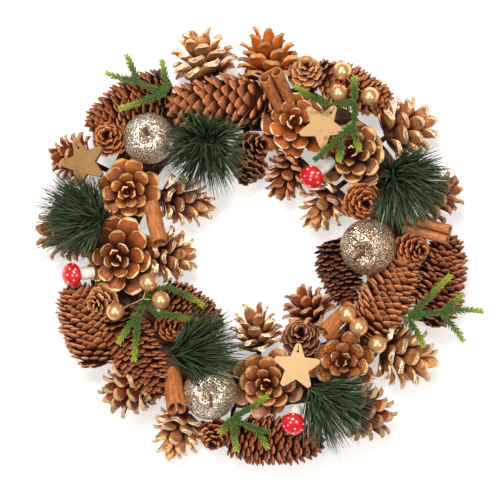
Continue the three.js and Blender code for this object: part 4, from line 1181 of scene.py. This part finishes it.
# Sprigs. Thin twigs of soft plastic that branch, thick with short needles, fresh and yellow at
# their ends. A pin at the root of each goes down into the cone or the ring below.
SPRIG_NEEDLE = 5.6
NEEDLE_WIDTH = 0.85
NEEDLE_DEPTH = 0.55
SPLAY = 0.74  # of a needle's length, outwards and onwards alike
WHORL_STEP = 1.9
SHOOT = 0.8  # radius of a shoot where it leaves its twig, and half as much at its tip
PIN = 1.0
sprig_green, tree, surface = finish("sprig_green", Roughness=0.5, Subsurface_Weight=0.1)
leaf, tone = leaf_of(tree)
along = wire(tree, "SeparateXYZ", {0: leaf}).outputs[1]
mottled = noise(tree, on_piece(tree), 500, 2)
deep = mixed(tree, mottled, paint(26, 56, 28), paint(84, 118, 56))
fresh = mixed(tree, mottled, paint(124, 156, 40), paint(198, 210, 66))
tipped = sums(tree, "ADD", sums(tree, "MULTIPLY", tone, 0.85), sums(tree, "MULTIPLY", along, 0.15))
tree.links.new(mixed(tree, tipped, deep, fresh), surface.inputs["Base Color"])


def needle(cuts, bow):
    """A needle from 0 to 1 along its length, three-sided, pointed and a little bowed."""
    bm = leafed()
    bmesh.ops.create_cone(bm, cap_ends=True, segments=3, radius1=1, radius2=1, depth=1)
    bmesh.ops.translate(bm, vec=(0, 0, 0.5), verts=bm.verts[:])
    uprights = [edge for edge in bm.edges if abs(edge.verts[0].co.z - edge.verts[1].co.z) > 0.5]
    bmesh.ops.subdivide_edges(bm, edges=uprights, cuts=cuts, use_grid_fill=True)
    leaf = bm.verts.layers.float_vector["leaf"]
    for vert in bm.verts:
        along = vert.co.z
        slim = 0.7 + 0.6 * along if along < 0.5 else 2.0 * (1 - along) + 0.06
        vert[leaf] = (0, along, 0)
        vert.co = (vert.co.x * slim, along, vert.co.y * slim + bow * math.sin(math.pi * along))
    bmesh.ops.recalc_face_normals(bm, faces=bm.faces[:])
    return cast(bm, "needle")


short_needle = needle(1, 0)


def any_side(way):
    """Some direction square to the one given."""
    other = Vector((0, 0, 1)) if abs(way.z) < 0.9 * way.length else Vector((1, 0, 0))
    return way.cross(other).normalized()


SPRIGS = {
    "sprig_top": ((80, 115, 54), (82, 125, 34), [
        (-1, 0, (78, 94, 60)), (0, 0.9, (48, 68, 66)), (1, 0.35, (67, 68, 62)), (0, 0.9, (83, 76, 60)),
        (-1, 0, (58, 112, 53)), (4, 0.9, (33, 127, 54)), (-1, 0, (80, 134, 58)),
    ]),
    "sprig_right": ((122, -58, 51), (104, -50, 38), [
        (-1, 0, (152, -53, 55)), (0, 0.9, (181, -52, 51)), (-1, 0, (155, -24, 57)),
        (0, 0.9, (165, -39, 57)), (0, 0.9, (166, -75, 53)), (-1, 0, (134, -79, 57)),
    ]),
    "sprig_bottom": ((-17, -136, 53), (-10, -153, 32), [
        (-1, 0, (10, -119, 61)), (-1, 0, (-27, -148, 53)), (-1, 0, (-14, -162, 54)),
        (-1, 0, (11, -147, 57)), (3, 0.5, (10, -160, 55)),
    ]),
    "sprig_left": ((-87, -41, 49), (-97, -37, 8), [
        (-1, 0, (-67, -32, 46)), (0, 0.9, (-41, -47, 48)), (-1, 0, (-76, -55, 57)),
        (2, 0.9, (-44, -59, 57)), (-1, 0, (-92, -54, 61)), (4, 0.85, (-107, -76, 63)),
        (4, 0.85, (-95, -90, 62)),
    ]),
    "sprig_upper_left": ((-68, 123, 59), (-76, 127, 34), [
        (-1, 0, (-73, 147, 52)), (-1, 0, (-94, 131, 58)), (1, 0.9, (-101, 151, 57)),
        (1, 0.9, (-117, 137, 55)), (-1, 0, (-106, 109, 58)),
    ]),
}
for seed, (name, (root, pinned_to, shoots)) in enumerate(SPRIGS.items()):
    draw = random.Random(seed + 200)
    bm = leafed()
    root = Vector(root)
    rod(bm, pinned_to, root, PIN, PIN, 6)
    bearing = {parent for parent, share, tip in shoots}
    ends = []
    for number, (parent, share, tip) in enumerate(shoots):
        start = root if parent < 0 else ends[parent][0].lerp(ends[parent][1], share)
        tip = Vector(tip)
        ends.append((start, tip))
        way = (tip - start).normalized()
        length = (tip - start).length
        side = any_side(way)
        bend = side * length * draw.uniform(-0.06, 0.06)
        path = [start.lerp(tip, step / 6) + bend * math.sin(step / 6 * math.pi) for step in range(7)]
        bent(bm, path, SHOOT, SHOOT / 2, 5)
        whorls = round(length / WHORL_STEP)
        for step in range(4 * whorls):
            at_share = (step // 4 + 0.5 + draw.uniform(-0.2, 0.2)) / whorls
            foot = start.lerp(tip, at_share) + bend * math.sin(at_share * math.pi)
            turn = math.pi / 2 * (step % 4) + math.pi / 4 * (step // 4) + draw.uniform(-0.3, 0.3)
            out = Matrix.Rotation(turn, 3, way) @ side
            reach = SPRIG_NEEDLE * (1.05 - 0.35 * at_share) * draw.uniform(0.8, 1.15)
            point = foot + (out * SPLAY + way * SPLAY) * reach
            new_growth = 0 if number in bearing else max(0, at_share - 0.45) / 0.5
            tone_here = min(1, new_growth * draw.uniform(0.8, 1.2))
            flat_side = any_side(point - foot)
            grow(bm, short_needle, foot, point, flat_side, NEEDLE_WIDTH, NEEDLE_DEPTH, tone_here)
    keep(name + "_needles", bm, sprig_green, "sprig_green", name, sharp=60)


# Tufts. Long dark needles of green plastic, bound to a short stem and combed to one side. The stem
# goes down between the cones into the vine ring.
FLATTENED = 0.5
COMBING = 1.25  # how far the needles are pulled over to one side
STEM_FOOT = 1.6
STEM_HEAD = 3.5
BLADE = 0.54  # radius of a long needle
BUNCHES = 175  # round the whole heart, before the far side is left out
BLADES = 5  # needles to a bunch
pine_green, tree, surface = finish("needle_green", Roughness=0.3)
leaf, tone = leaf_of(tree)
along = wire(tree, "SeparateXYZ", {0: leaf}).outputs[1]
shade = mixed(tree, ramp(tree, tone, 0.35, 1), paint(8, 18, 11), paint(76, 100, 64))
shade = mixed(tree, sums(tree, "MULTIPLY", ramp(tree, along, 0.4, 1), 0.2), shade, paint(112, 126, 88))
tree.links.new(shade, surface.inputs["Base Color"])

long_needles = [needle(3, bow) for bow in (0.0, 2.5, 6.0)]
TUFTS = {
    "tuft_top": ((-38, 82, 50), (-0.05, -0.35, 0.3), (-52, 96, 8), 50, -0.8),
    "tuft_right": ((114, 55, 50), (0.3, -0.3, 0.3), (98, 47, 8), 53, -0.5),
    "tuft_bottom": ((49, -116, 50), (0.55, -0.45, 0.3), (48, -106, 8), 57, -0.3),
    "tuft_inner": ((-58, -85, 50), (0.65, 0.12, 0.3), (-60, -92, 8), 58, -0.25),
    "tuft_left": ((-126, 22, 53), (-0.6, 0.1, 0.25), (-116, 21, 8), 56, -0.6),
}
for seed, (name, (heart, combed, stem, length, widest)) in enumerate(TUFTS.items()):
    draw = random.Random(seed + 300)
    bm = leafed()
    heart, combed = Vector(heart), Vector(combed)
    rod(bm, stem, heart, STEM_FOOT, STEM_HEAD, 7)
    backwards = -Vector((combed.x, combed.y, 0)).normalized() * 8
    for number in range(BUNCHES):
        rise_share = draw.uniform(-0.25, 1)
        turn = number * GOLDEN_TURN
        flat = math.sqrt(1 - rise_share * rise_share)
        out = Vector((flat * math.cos(turn), flat * math.sin(turn), rise_share))
        way = (out + combed * COMBING).normalized()
        way.z *= FLATTENED
        ahead = out.dot(combed) / combed.length
        if way.z < 0.01 or ahead < widest:
            continue
        foot = heart + out * draw.uniform(0, 3) + backwards * draw.random() ** 1.5
        for blade in range(BLADES):
            reach = length * draw.uniform(0.74, 1.02) * min(1, 0.85 + 0.3 * ahead)
            stray = Vector((draw.gauss(0, 0.06), draw.gauss(0, 0.06), draw.gauss(0, 0.05)))
            tip = foot + (way + stray) * reach
            bow_side = Matrix.Rotation(draw.uniform(0, 2 * math.pi), 3, way) @ any_side(way)
            grow(bm, draw.choice(long_needles), foot, tip, bow_side, BLADE, BLADE, draw.random())
    keep(name + "_needles", bm, pine_green, "needle_green", name, sharp=60)
